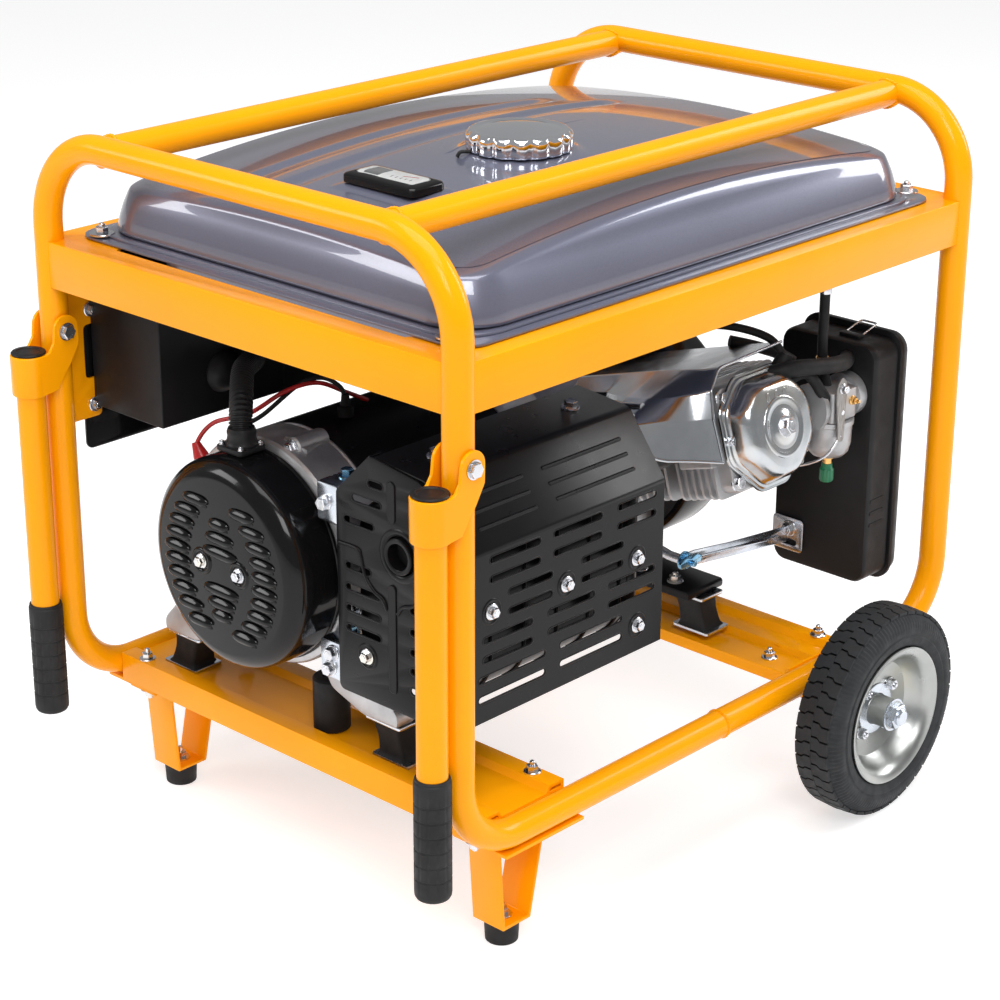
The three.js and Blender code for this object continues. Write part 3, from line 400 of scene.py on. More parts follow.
def refined(node, look, bevel=0.8, segments=2, degrees=30):
    """A copy of a CAD node with its flat faces merged and its edges rounded."""
    bm = bmesh.new()
    bm.from_mesh(frame["nodes"][node].data)
    bmesh.ops.remove_doubles(bm, verts=bm.verts, dist=1e-5)
    bmesh.ops.dissolve_limit(bm, angle_limit=math.radians(1), verts=bm.verts, edges=bm.edges)
    obj = link(bm, node + "_skin")
    modifier = obj.modifiers.new("edge", "BEVEL")
    modifier.width = bevel * MM
    modifier.segments = segments
    modifier.limit_method = "ANGLE"
    modifier.angle_limit = math.radians(degrees)
    modifier.use_clamp_overlap = True
    bpy.context.view_layer.update()
    graph = bpy.context.evaluated_depsgraph_get()
    mesh = bpy.data.meshes.new_from_object(obj.evaluated_get(graph))
    obj.modifiers.clear()
    obj.data = mesh
    return dress(smooth(obj), look, body_of(node), [node])


def keep(node, look):
    """The CAD node itself stays, with this material."""
    obj = frame["nodes"][node]
    obj.data.materials.clear()
    obj.data.materials.append(look.material)


def add_tube(bm, path, radius, sides=24, closed=False):
    """Sweeps a circle along a list of points; radius is a number or a function of the index."""
    points = [Vector(p) for p in path]
    count = len(points)
    size = radius if callable(radius) else lambda _: radius
    tangents = []
    for i in range(count):
        before = points[i - 1] if closed or i > 0 else points[0]
        after = points[(i + 1) % count] if closed or i < count - 1 else points[-1]
        tangents.append((after - before).normalized())
    side = tangents[0].orthogonal().normalized()
    rings = []
    for i in range(count):
        if i > 0:
            side = tangents[i - 1].rotation_difference(tangents[i]) @ side
        side = (side - tangents[i] * side.dot(tangents[i])).normalized()
        other = tangents[i].cross(side)
        ring = []
        for k in range(sides):
            angle = 2 * math.pi * k / sides
            offset = math.cos(angle) * side + math.sin(angle) * other
            ring.append(bm.verts.new(points[i] + size(i) * offset))
        rings.append(ring)
    for i in range(count if closed else count - 1):
        one, two = rings[i], rings[(i + 1) % count]
        for k in range(sides):
            nxt = (k + 1) % sides
            bm.faces.new((one[k], one[nxt], two[nxt], two[k]))
    if not closed:
        bm.faces.new(rings[0][::-1])
        bm.faces.new(rings[-1])


AXES = {
    "x": Matrix(((0, 0, 1), (1, 0, 0), (0, 1, 0))),
    "y": Matrix(((1, 0, 0), (0, 0, 1), (0, -1, 0))),
    "z": Matrix.Identity(3),
}


def turn_matrix(axis):
    """Rotation that takes +Z to the given axis: a letter or a direction."""
    if isinstance(axis, str):
        return AXES[axis].to_4x4()
    return Vector(axis).to_track_quat("Z", "Y").to_matrix().to_4x4()


def add_lathe(bm, profile, centre=(0, 0, 0), axis="z", segments=64, radius_of=None):
    """Turns [radius, height] points about an axis; radius_of(angle, radius, height) may reshape it."""
    matrix = Matrix.Translation(centre) @ turn_matrix(axis)
    columns = []
    for radius, height in profile:
        if radius < 1e-6:
            columns.append([bm.verts.new(matrix @ Vector((0, 0, height)))])
            continue
        ring = []
        for k in range(segments):
            angle = 2 * math.pi * k / segments
            r = radius_of(angle, radius, height) if radius_of else radius
            ring.append(bm.verts.new(matrix @ Vector((r * math.cos(angle), r * math.sin(angle), height))))
        columns.append(ring)
    for one, two in zip(columns, columns[1:]):
        for k in range(segments):
            nxt = (k + 1) % segments
            corners = [one[k % len(one)], one[nxt % len(one)], two[nxt % len(two)], two[k % len(two)]]
            unique = list(dict.fromkeys(corners))
            if len(unique) > 2:
                bm.faces.new(unique)


def lathe(name, profile, centre, axis, look, segments=96, degrees=35, replaced=(), body=None, radius_of=None):
    bm = bmesh.new()
    add_lathe(bm, profile, centre, axis, segments, radius_of)
    return skin(bm, name, look, degrees, replaced, body)


def on_shaft(name, profile, look, segments=160, degrees=30, replaced=()):
    """A turned piece about the engine's shaft, its heights measured along +X."""
    return lathe(name, profile, (0, SHAFT_Y, SHAFT_Z), "x", look, segments, degrees, replaced)


def tube(name, path, radius, look, sides=32, replaced=(), body=None, closed=False):
    bm = bmesh.new()
    add_tube(bm, path, radius, sides, closed)
    return skin(bm, name, look, 35, replaced, body)


def curved(points, steps=12):
    """A smooth line through the points, with steps between neighbours."""
    vectors = [Vector(p) for p in points]
    line = []
    for i in range(len(vectors) - 1):
        a = vectors[max(i - 1, 0)]
        b, c = vectors[i], vectors[i + 1]
        d = vectors[min(i + 2, len(vectors) - 1)]
        for k in range(steps):
            t = k / steps
            line.append(0.5 * (2 * b + (c - a) * t + (2 * a - 5 * b + 4 * c - d) * t * t
                               + (3 * b - a - 3 * c + d) * t ** 3))
    line.append(vectors[-1])
    return line


def bent(corners, radii, steps=12):
    """Straight runs between corners, with an arc of the given radius at each."""
    points = [Vector(c) for c in corners]
    line = [points[0]]
    for before, corner, after, radius in zip(points, points[1:], points[2:], radii):
        into = (corner - before).normalized()
        out = (after - corner).normalized()
        turn = into.angle(out)
        start = corner - into * radius * math.tan(turn / 2)
        side = (out - into * out.dot(into)).normalized()
        for k in range(steps + 1):
            angle = turn * k / steps
            line.append(start + into * radius * math.sin(angle) + side * radius * (1 - math.cos(angle)))
    line.append(points[-1])
    return line


def arc(u, v, radius, start, end, steps=8):
    """Points of an arc, in degrees."""
    angles = [math.radians(start + (end - start) * i / steps) for i in range(steps + 1)]
    return [(u + radius * math.cos(a), v + radius * math.sin(a)) for a in angles]


def rounded(u0, u1, v0, v1, radius, steps=6):
    return (arc(u1 - radius, v0 + radius, radius, -90, 0, steps)
            + arc(u1 - radius, v1 - radius, radius, 0, 90, steps)
            + arc(u0 + radius, v1 - radius, radius, 90, 180, steps)
            + arc(u0 + radius, v0 + radius, radius, 180, 270, steps))


def slot(u0, u1, v, half, steps=6):
    return arc(u1, v, half, -90, 90, steps) + arc(u0, v, half, 90, 270, steps)


def fillet(corners, radius, steps=5):
    """A closed outline with its corners rounded."""
    count = len(corners)
    points = []
    for i in range(count):
        before, here, after = (Vector(corners[(i + k) % count]) for k in (-1, 0, 1))
        into, out = (before - here), (after - here)
        reach = min(radius, 0.45 * into.length, 0.45 * out.length)
        a, b = here + into.normalized() * reach, here + out.normalized() * reach
        for k in range(steps + 1):
            t = k / steps
            points.append(tuple((1 - t) ** 2 * a + 2 * t * (1 - t) * here + t * t * b))
    return points


PLANES = {
    "xy": Matrix.Identity(4),
    "xz": Matrix(((1, 0, 0, 0), (0, 0, 1, 0), (0, 1, 0, 0), (0, 0, 0, 1))),
    "yz": Matrix(((0, 0, 1, 0), (1, 0, 0, 0), (0, 1, 0, 0), (0, 0, 0, 1))),
}


def add_plate(bm, outline, low, high, plane="xy", holes=(), edge=0.4, matrix=None):
    """A stamped plate: an outline with holes, with softly rounded edges all round."""
    curve = bpy.data.curves.new("plate", "CURVE")
    curve.dimensions = "2D"
    curve.fill_mode = "BOTH"
    curve.extrude = (high - low) / 2 - edge
    curve.bevel_depth = edge
    curve.bevel_resolution = 1
    curve.offset = -edge
    for loop in [outline, *holes]:
        spline = curve.splines.new("POLY")
        spline.points.add(len(loop) - 1)
        for point, (u, v) in zip(spline.points, loop):
            point.co = (u, v, 0, 1)
        spline.use_cyclic_u = True
    obj = bpy.data.objects.new("plate", curve)
    mesh = bpy.data.meshes.new_from_object(obj)
    place = (matrix or PLANES[plane]) @ Matrix.Translation((0, 0, (low + high) / 2))
    mesh.transform(place)
    if place.determinant() < 0:
        mesh.flip_normals()
    bm.from_mesh(mesh)
    bpy.data.objects.remove(obj)
    bpy.data.meshes.remove(mesh)
    bpy.data.curves.remove(curve)


def plate(name, outline, low, high, plane, look, edge=0.4, holes=(), replaced=(), matrix=None):
    bm = bmesh.new()
    add_plate(bm, outline, low, high, plane, holes, edge, matrix)
    bmesh.ops.remove_doubles(bm, verts=bm.verts, dist=0.001)
    return piece(bm, name, look, 40, replaced)


def add_hex(bm, centre, axis, across, low, high, crown=0.6):
    """A hexagon head or nut between two heights, with its corners turned off."""
    matrix = Matrix.Translation(centre) @ turn_matrix(axis)
    corner = across / math.sqrt(3)
    levels = [(corner, low), (corner, high - crown), (corner * 0.9, high)]
    rings = []
    for radius, height in levels:
        ring = []
        for k in range(6):
            angle = math.pi * k / 3
            ring.append(bm.verts.new(matrix @ Vector((radius * math.cos(angle), radius * math.sin(angle), height))))
        rings.append(ring)
    for one, two in zip(rings, rings[1:]):
        for k in range(6):
            bm.faces.new((one[k], one[(k + 1) % 6], two[(k + 1) % 6], two[k]))
    bm.faces.new(rings[0][::-1])
    bm.faces.new(rings[-1])


def bolt(name, centre, axis, across=10, washer=8, stud=0, look=None, body=None):
    """Flanged hexagon bolt head, or a nut with a stud standing through it."""
    bm = bmesh.new()
    height = across * 0.55
    flange = [(0, 0), (washer, 0), (washer, 1), (washer - 0.6, 1.5), (across * 0.5, 1.7), (0, 1.7)]
    add_lathe(bm, flange, centre, axis, 32)
    add_hex(bm, centre, axis, across, 1.5, 1.5 + height)
    if stud:
        radius = across * 0.27
        top = 1.5 + height + stud
        end, segments = [(0, 1), (radius, 1), (radius, top - 0.8), (radius - 0.8, top), (0, top)], 20
    else:
        end, segments = [(across * 0.34, 1.45 + height), (across * 0.3, 1.75 + height), (0, 1.6 + height)], 24
    add_lathe(bm, end, centre, axis, segments)
    return skin(bm, name, look or ZINC, 30, body=body)


WELD_STEP = 0.65
WELD_PITCH = 2.6


def weld_bead(name, path, radius, closed=False, body=None):
    """A bead of overlapping ripples along a line."""
    points = [Vector(p) for p in path]
    if closed:
        points.append(points[0])
    dense = [points[0]]
    for a, b in zip(points, points[1:]):
        steps = max(1, round((b - a).length / WELD_STEP))
        dense += [a.lerp(b, (k + 1) / steps) for k in range(steps)]
    if closed:
        dense.pop()

    def size(i):
        return radius * (0.8 + 0.28 * abs(math.sin(math.pi * i * WELD_STEP / WELD_PITCH)))

    bm = bmesh.new()
    add_tube(bm, dense, size, 10, closed)
    return piece(bm, name, YELLOW, 60, body=body)


def tube_joint(x, y, z, run_radius, main_radius, run_axis, main_axis, side, steps=40):
    """Line where a round tube running along run_axis meets the wall of one along main_axis."""
    run, main = Vector(run_axis), Vector(main_axis)
    across = run.cross(main)
    points = []
    for k in range(steps):
        angle = 2 * math.pi * k / steps
        u = run_radius * math.cos(angle)
        v = run_radius * math.sin(angle)
        depth = math.sqrt(max(0, main_radius ** 2 - u ** 2))
        points.append(Vector((x, y, z)) + across * u + main * v + run * side * depth)
    return points


def add_rings(bm, rings, cap_last=False):
    """Joins rings of equal length, given as lists of 3-D points, into a skin."""
    made = [[bm.verts.new(p) for p in ring] for ring in rings]
    count = len(made[0])
    for one, two in zip(made, made[1:]):
        for k in range(count):
            nxt = (k + 1) % count
            bm.faces.new((one[k], one[nxt], two[nxt], two[k]))
    if cap_last:
        bm.faces.new(made[-1])
    return made


def loft(name, rings, look, degrees=35, replaced=(), body=None, caps="both"):
    """A finished piece from rings, closed at both ends, at the last one or at neither."""
    bm = bmesh.new()
    made = add_rings(bm, rings, cap_last=bool(caps))
    if caps == "both":
        bm.faces.new(made[0][::-1])
    return skin(bm, name, look, degrees, replaced, body)


def add_sheet(bm, rows):
    """Joins rows of points, not closed on themselves, into an open sheet."""
    made = [[bm.verts.new(p) for p in row] for row in rows]
    for one, two in zip(made, made[1:]):
        for k in range(len(one) - 1):
            bm.faces.new((one[k], one[k + 1], two[k + 1], two[k]))

# ------------------------------------------------------------------ tube frame

ROOT = body_of("fuel_tank")


def hoop(end, node):
    corners = [(0.2 * end, -POST_Y, BASE_Z), (end * POST_X, -POST_Y, BASE_Z), (end * POST_X, -POST_Y, CROSS_Z),
               (end * POST_X, POST_Y, CROSS_Z), (end * POST_X, POST_Y, BASE_Z), (0.2 * end, POST_Y, BASE_Z)]
    line = bent(corners, [BASE_BEND, TOP_BEND, TOP_BEND, BASE_BEND], 20)
    tube(node + "_tube", line, TUBE_R, YELLOW, 40, [node])


def make_frame():
    hoop(-1, "hoop_handle_end")
    hoop(1, "hoop_wheel_end")
    for name, side in SIDES.items():
        y = side * RAIL_Y
        ends = [(-POST_X, y, RAIL_Z), (POST_X, y, RAIL_Z)]
        tube("top_rail_tube_" + name, ends, TUBE_R, YELLOW, 40, ["top_rail_" + name])
        for end in (-1, 1):
            line = tube_joint(end * POST_X, y, RAIL_Z, TUBE_R + 0.3, TUBE_R + 1, (1, 0, 0), (0, 0, 1), -end)
            weld_bead(f"rail_weld_{name}_{end + 1}", line, 1.6, True)
        ring = arc(0, 0, TUBE_R + 0.1, 0, 345, 23)
        seam = [(2.2, side * POST_Y + u, BASE_Z + v) for u, v in ring]
        weld_bead(f"bottom_tube_weld_{name}", seam, 1.2, True)
    refined("tank_ring", YELLOW, 1.1, 3)
    low, high = span("tank_ring")
    for x in (-1, 1):
        for name, side in SIDES.items():
            post = (x * POST_X, side * POST_Y)
            for k, (du, dv) in enumerate(((0, -side), (-x, 0))):
                start = (post[0] + du * (TUBE_R + 1), post[1] + dv * (TUBE_R + 1))
                line = [(start[0], start[1], low.z + 4), (start[0], start[1], high.z - 4)]
                weld_bead(f"ring_weld_{name}_{x + 1}_{k}", line, 1.5)
            bolt(f"tank_bolt_{name}_{x + 1}", (x * 301, side * 209, span("fuel_tank")[0].z + 60.8), "z", washer=11,
                 stud=3)


def make_panel_plate():
    """The welded plate on the handle-end hoop that the control panel is bolted to."""
    face = span("control_panel")[0].y
    corners = [(-325, 502), (-284, 502), (-284, 460), (-300, 460), (-300, 410), (-284, 410), (-284, 373),
               (-325, 373)]
    plate("panel_bracket_plate", fillet(corners, 5), face - 3.4, face - 0.4, "xz", YELLOW, 0.5)
    for k, z in enumerate((385, 474)):
        bolt(f"panel_bolt_{k}", (-292, face - 3.5, z), (0, -1, 0), 8, 7)
    line = [(-318, face - 2, 376), (-318, face - 2, 500)]
    weld_bead("panel_plate_weld", line, 1.6)

# ------------------------------------------------------------------ trays, legs, feet and axle


def slotted_bolt(name, x, y, z):
    bolt(name, (x, y, z), "z", 9, 7.65, 4)


TRAY_END_Y = 233.6
TRAY_WELD_Z = 121


def make_trays():
    refined("tray_alternator_end", YELLOW, 1.0, 3)
    refined("tray_wheel_end", YELLOW, 1.0, 3)
    top = span("tray_alternator_end")[1].z
    wheel_top = span("tray_wheel_end")[1].z
    for name, side in SIDES.items():
        for k, x in enumerate((-279, -199)):
            slotted_bolt(f"tray_bolt_{name}_{k}", x, side * 205, top)
        for tray, ends in (("end", (-284, -193)), ("wheel", (124, 196))):
            seam = [(x, side * TRAY_END_Y, TRAY_WELD_Z) for x in ends]
            weld_bead(f"tray_{tray}_weld_{name}", seam, 1.4)
        for k, x in enumerate((141, 192)):
            slotted_bolt(f"axle_tray_bolt_{name}_{k}", x, side * (214 if k else 196), 129 if k == 0 else wheel_top)
    slotted_bolt("tray_mount_bolt", -222, 134, top)
    low, high = span("buffer")
    centre = middle("buffer")
    profile = [(0, 0), (15, 0), (16.5, 1.2), (16.5, high.z - low.z - 1.5), (15, high.z - low.z),
               (8, high.z - low.z), (7.2, high.z - low.z - 2.5), (0, high.z - low.z - 2.5)]
    lathe("buffer_rubber", profile, (centre.x, centre.y, low.z), "z", RUBBER, replaced=["buffer"])


def make_legs():
    for name in SIDES:
        refined("leg_" + name, YELLOW, 1.2, 3)
        centre = middle("foot_" + name)
        height = span("foot_" + name)[1].z
        profile = [(0, 0.4), (5, 0.4), (5.6, 0), (13.4, 0), (14.3, 0.9), (15.3, height - 2), (15.5, height - 1),
                   (14.6, height), (0, height)]
        lathe("foot_rubber_" + name, profile, (centre.x, centre.y, 0), "z", RUBBER, replaced=["foot_" + name])
        bolt("foot_bolt_" + name, (centre.x, centre.y, height + 3.5), "z", washer=9, stud=5)
        for k, x in enumerate((-274, -196)):
            bolt(f"leg_bolt_{name}_{k}", (x, centre.y, span("leg_" + name)[1].z - 3), (0, 0, -1), washer=9, stud=3)


def make_axle():
    low, high = span("axle")
    centre = middle("axle")
    bm = bmesh.new()
    half = (high.y - low.y) / 2
    add_lathe(bm, [(0, -half), (6.5, -half), (8, -half + 1.5), (8, half - 1.5), (6.5, half), (0, half)], centre,
              "y", 48)
    for side in (-1, 1):
        direction = (0, side, 0)
        add_lathe(bm, [(8, half - 12), (15, half - 12), (15.5, half - 11.6), (15.5, half - 10.4), (8, half - 10)],
                  centre, direction, 48)
        add_hex(bm, centre, direction, 21, half - 10, half - 3, crown=1)
    skin(bm, "axle_steel", PLATED, 30, ["axle"])

# ------------------------------------------------------------------ wheels

TREAD_BLOCKS = 44
SHOULDER_RIBS = 132


def tread_half(bm, centre, radius, side, shift):
    """One row of tread blocks between the middle seam and the shoulder."""
    step = 2 * math.pi / TREAD_BLOCKS
    for k in range(TREAD_BLOCKS):
        start = (k + shift) * step
        lower = []
        upper = []
        for across, skew in ((0.5, 0.0), (7, 0.0), (10, 0.2), (17.5, 0.2)):
            for edge in (0.07, 0.93):
                angle = start + (edge + skew) * step
                drop = 0.9 * (across / 17.5) ** 2
                for ring, r in ((lower, radius - 4.2), (upper, radius - 0.35 - drop)):
                    ring.append(bm.verts.new(centre + Vector((r * math.cos(angle), side * across,
                                                              r * math.sin(angle)))))
        for i in range(3):
            a, b, c, d = 2 * i, 2 * i + 1, 2 * i + 3, 2 * i + 2
            bm.faces.new((upper[a], upper[b], upper[c], upper[d]))
            bm.faces.new((lower[a], lower[d], upper[d], upper[a]))
            bm.faces.new((lower[b], upper[b], upper[c], lower[c]))
        bm.faces.new((lower[0], upper[0], upper[1], lower[1]))
        bm.faces.new((lower[-2], lower[-1], upper[-1], upper[-2]))


def make_tyre(name):
    node = "tyre_" + name
    low, high = span(node)
    centre = middle(node)
    half = (high.y - low.y) / 2
    radius = (high.z - low.z) / 2
    body = body_of(node)
    outline = [(62.2, half - 6.5), (66.5, half - 3.2), (68.5, half - 1.6), (76, half - 0.4), (77.2, half - 1.2),
               (78.4, half - 1.2)]
    shoulder = [(80, half - 0.6), (85, half - 0.8), (90, half - 2.6), (94, half - 6.2), (96.2, half - 8.4)]
    tread = [(96, 16), (95.8, 6), (95.8, 0)]
    profile = outline + shoulder + tread

    def ribbed(angle, r, height):
        if r < 79.9 or abs(height) < 16.5:
            return r
        rib = 0.5 + 0.5 * math.sin(angle * SHOULDER_RIBS)
        return r - 1.5 * (1 - rib) * min(1, (r - 79) / 4)

    bm = bmesh.new()
    for mirror in (-1, 1):
        columns = [(r, mirror * height) for r, height in profile]
        add_lathe(bm, columns, centre, "y", SHOULDER_RIBS * 4, ribbed)
        tread_half(bm, centre, radius, mirror, 0 if mirror > 0 else 0.5)
    bmesh.ops.remove_doubles(bm, verts=bm.verts, dist=0.002)
    skin(bm, "tyre_rubber_" + name, TYRE, 32, [node], body)
    seam = [centre + Vector(((radius - 0.5) * u, 0, (radius - 0.5) * v)) for u, v in arc(0, 0, 1, 0, 357, 119)]
    tube("tyre_seam_" + name, seam, 0.4, TYRE, 6, body=body, closed=True)


def make_rim(name, side):
    node = "rim_" + name
    centre = middle(node)
    body = body_of(node)
    profile = [(8.4, -21.8), (13.6, -21.8), (14, -21), (14, -4), (15.5, -2.6), (38, -2.6), (44, -4), (49, -8),
               (53, -15), (56, -20), (60, -23), (66, -24.6), (66, -22.6), (62, -19.6), (61.4, 19.2), (66, 22.4),
               (66, 24.4), (64.5, 24.9), (60.5, 23.6), (57, 21), (54, 15), (50.5, 6), (46, 1.2), (40, 0), (17, 0),
               (15.4, 0.8), (14.4, 2.4), (14, 21), (13.6, 21.8), (8.4, 21.8), (8.4, -21.8)]
    lathe("rim_steel_" + name, profile, centre, (0, side, 0), DISC, 128, replaced=[node], body=body)
    for k in range(4):
        angle = math.radians(40 + 90 * k)
        place = centre + Vector((28 * math.cos(angle), side * 0.2, 28 * math.sin(angle)))
        bolt(f"rim_bolt_{name}_{k}", place, (0, side, 0), 9, 6.5, 2, body=body)
    ring = [(15.2, 0.2), (24, 0.2), (24.5, 0.8), (24, 1.4), (15.2, 1.6)]
    lathe("hub_collar_" + name, ring + ring[:1], centre, (0, side, 0), PLATED, body=body)

# ------------------------------------------------------------------ carrying handles


def add_ear(bm, low, high, x0, z0, reach):
    outline = [(-reach, -53), (-12, -51), (-5, -40), (3, -30), (12.4, -14), (12.8, 0)]
    outline += arc(0, 2, 12.8, 0, 172, 14) + [(-14, -8), (-19, -15.5), (-24, -17.2), (-reach, -17)]
    add_plate(bm, [(x0 + u, z0 + v) for u, v in outline], low, high, "xz", edge=0.5)


def make_handle(name, side):
    node = "handle_" + name
    body = body_of(node)
    bolt_place = middle("pivot_bolt_" + name)
    low, high = span(node)
    grip_low, grip_high = span("grip_" + name)
    reach = bolt_place.x - middle("grip_" + name).x
    x, y, z = bolt_place.x, side * POST_Y, bolt_place.z
    ear_out = (high.y - low.y) / 2
    bm = bmesh.new()
    for mirror in (-1, 1):
        near, far = sorted((y + mirror * (ear_out - 3), y + mirror * ear_out))
        add_ear(bm, near, far, x, z, reach)
    piece(bm, "handle_ears_" + name, YELLOW, 40, body=body)
    # The collar between the ears, turned about the tube's own axis.
    collar = [(13, -53), (16, -53.2), (ear_out, -52.4), (ear_out, -18), (ear_out - 0.8, -17), (13.2, -17)]
    lathe("handle_collar_" + name, collar, (x - reach, y, z), "z", YELLOW, replaced=[node], body=body)
    tube_low = grip_high.z + 2
    profile = [(0, tube_low - 12), (TUBE_R, tube_low - 12), (TUBE_R, z - 50)]
    lathe("handle_tube_" + name, profile, (x - reach, y, 0), "z", YELLOW, body=body)
    plug = [(0, z - 18), (12.9, z - 18), (12.9, z - 16.4), (15, z - 16.4), (15.4, z - 15.6), (14.6, z - 14.6),
            (11, z - 14.2), (10, z - 15), (0, z - 15.2)]
    lathe("handle_plug_" + name, plug, (x - reach, y, 0), "z", PLASTIC, body=body)
    line = [(x - reach + 13.4 * u, y + 13.4 * v, z - 53.6) for u, v in arc(0, 0, 1, 60, 300, 20)]
    weld_bead("handle_weld_" + name, line, 1.3, body=body)
    make_grip(name, x - reach, y, grip_low.z, grip_high.z, body)
    bm = bmesh.new()
    for mirror in (-1, 1):
        direction = (0, mirror, 0)
        centre = (x, y, z)
        add_lathe(bm, [(4, ear_out + 0.3), (8, ear_out + 0.3), (8, ear_out + 1.2), (4, ear_out + 1.4)], centre,
                  direction, 32)
        add_hex(bm, centre, direction, 11.5, ear_out + 1.3, ear_out + (5 if mirror == side else 5.6), crown=0.8)
    add_lathe(bm, [(3.8, -ear_out), (3.8, ear_out + 5.6), (3, ear_out + 6), (0, ear_out + 6)], (x, y, z), "y", 24)
    skin(bm, "pivot_bolt_steel_" + name, ZINC, 30, ["pivot_bolt_" + name])


def make_grip(name, x, y, low, high, body):
    """Rubber grip with raised bands and rows of moulded pads."""
    length = high - low
    profile = [(0, 0), (12.6, 0), (14, 0.9), (15.1, 3), (15.4, 6)]
    for k in range(1, 7):
        at = k * (length - 14) / 7 + 6
        profile += [(15.4, at - 1.6), (14.7, at - 0.9), (14.7, at + 0.3), (15.4, at + 0.9)]
    profile += [(15.4, length - 6), (15.2, length - 3.4), (14.2, length - 2.2), (14.5, length - 0.8),
                (13.9, length), (12.75, length)]

    def fluted(angle, r, height):
        if 8 < height < length - 10 and r > 15.2:
            return r - 0.45 * (0.5 + 0.5 * math.cos(12 * angle)) ** 6
        return r

    lathe("grip_rubber_" + name, profile, (x, y, low), "z", RUBBER, 144, 30, ["grip_" + name], body, fluted)


make_frame()
make_panel_plate()
make_trays()
make_legs()
make_axle()
for side_name, side_sign in SIDES.items():
    make_tyre(side_name)
    make_rim(side_name, side_sign)
    make_handle(side_name, side_sign)

# ------------------------------------------------------------------ fuel tank

TANK_TOP = 622
ARCH_X = 2.44e-4
ARCH_Y = 2.83e-4


def ease(value, low, high):
    t = min(1, max(0, (value - low) / (high - low)))
    return t * t * (3 - 2 * t)


def tank_height(x, y):
    """Height of the pressed top: crowned both ways, with two long flutes and a pad for the gauge."""
    z = TANK_TOP - ARCH_X * x * x - ARCH_Y * y * y
    for centre, start in ((52, 196), (96, 150)):
        width = ease(13 - abs(y - centre), 0, 9)
        length = ease(start - x, 0, 26) * ease(x + 252, 0, 30)
        z -= 3.2 * width * length
    gauge = middle("fuel_gauge")
    inside = min(27 - abs(x - gauge.x), 47 - abs(y - gauge.y))
    z += 2.4 * ease(inside, 0, 5)
    cap = middle("fuel_cap")
    z += 3.0 * ease(math.hypot(x - cap.x, y - cap.y), 60, 46)
    return z


def ring_outline(half_x, half_y, radius, along=84, across=60, corner=10):
    """Rounded rectangle with evenly spaced points on its straight sides."""
    points = []
    corners = [(half_x, -half_y, -90), (half_x, half_y, 0), (-half_x, half_y, 90), (-half_x, -half_y, 180)]
    for i, (x, y, start) in enumerate(corners):
        cx, cy = x - math.copysign(radius, x), y - math.copysign(radius, y)
        points += arc(cx, cy, radius, start, start + 90, corner)
        end = Vector(points[-1])
        nx, ny, _ = corners[(i + 1) % 4]
        target = Vector(arc(nx - math.copysign(radius, nx), ny - math.copysign(radius, ny), radius, start + 90,
                            180, 1)[0])
        steps = across if i % 2 == 0 else along
        points += [tuple(end.lerp(target, k / steps)) for k in range(1, steps)]
    return points


def make_tank():
    low = span("fuel_tank")[0]
    flange_top = low.z + 61
    half_x, half_y = 296, 224
    rings = []
    wall = [(6, 0.0), (2.2, 0.7), (0.3, 2.6), (0, 5), (1.6, 14), (4.2, 25), (7.4, 35)]
    for inset, rise in wall:
        outline = ring_outline(half_x - inset, half_y - inset * 1.35, 46 - inset * 0.6)
        rings.append([(x, y, flange_top + rise) for x, y in outline])
    start_inset = 9.5
    for k in range(1, 9):
        angle = math.pi / 2 * k / 8
        inset = start_inset + 10 * (1 - math.cos(angle))
        outline = ring_outline(half_x - inset, half_y - inset * 1.35, 41 - inset * 0.45)
        ring = []
        for x, y in outline:
            top = tank_height(x, y) - 0.4
            base = flange_top + 37
            ring.append((x, y, base + (top - base) * math.sin(angle) ** 0.85))
        rings.append(ring)
    inset = start_inset + 10
    while inset < 200:
        inset += 3
        outline = ring_outline(half_x - inset, max(1, half_y - inset * 1.12), max(1.0, 31 - inset * 0.2))
        rings.append([(x, y, tank_height(x, y)) for x, y in outline])
    loft("tank_shell", rings, TANK, 60, ["fuel_tank"], caps="last")
    outline = rounded(-311, 311, -236, 236, 24)
    plate("tank_flange", outline, flange_top - 4.4, flange_top - 2, "xy", TANK, 0.9)
    inner = rounded(-302, 302, -228, 228, 40)
    hole = rounded(-290, 290, -216, 216, 34)
    plate("tank_flange_step", inner, flange_top - 2.4, flange_top + 0.6, "xy", TANK, 1.3, [hole[::-1]])
    pan = []
    for rise, grow in ((0, -16), (1.2, -8), (5, -2.5), (12, 0), (56.4, 0)):
        pan.append([(x, y, low.z + rise) for x, y in ring_outline(272 + grow, 186 + grow, 40 + grow * 0.4)])
    loft("tank_pan", pan, TANK, 40)
    cap = middle("fuel_cap")
    neck = [(30, TANK_TOP - 8), (30, TANK_TOP + 6), (29, TANK_TOP + 7.6), (27, TANK_TOP + 7.6), (26, TANK_TOP + 6),
            (26, TANK_TOP - 8)]
    lathe("tank_neck", neck, (cap.x, cap.y, 0), "z", TANK)


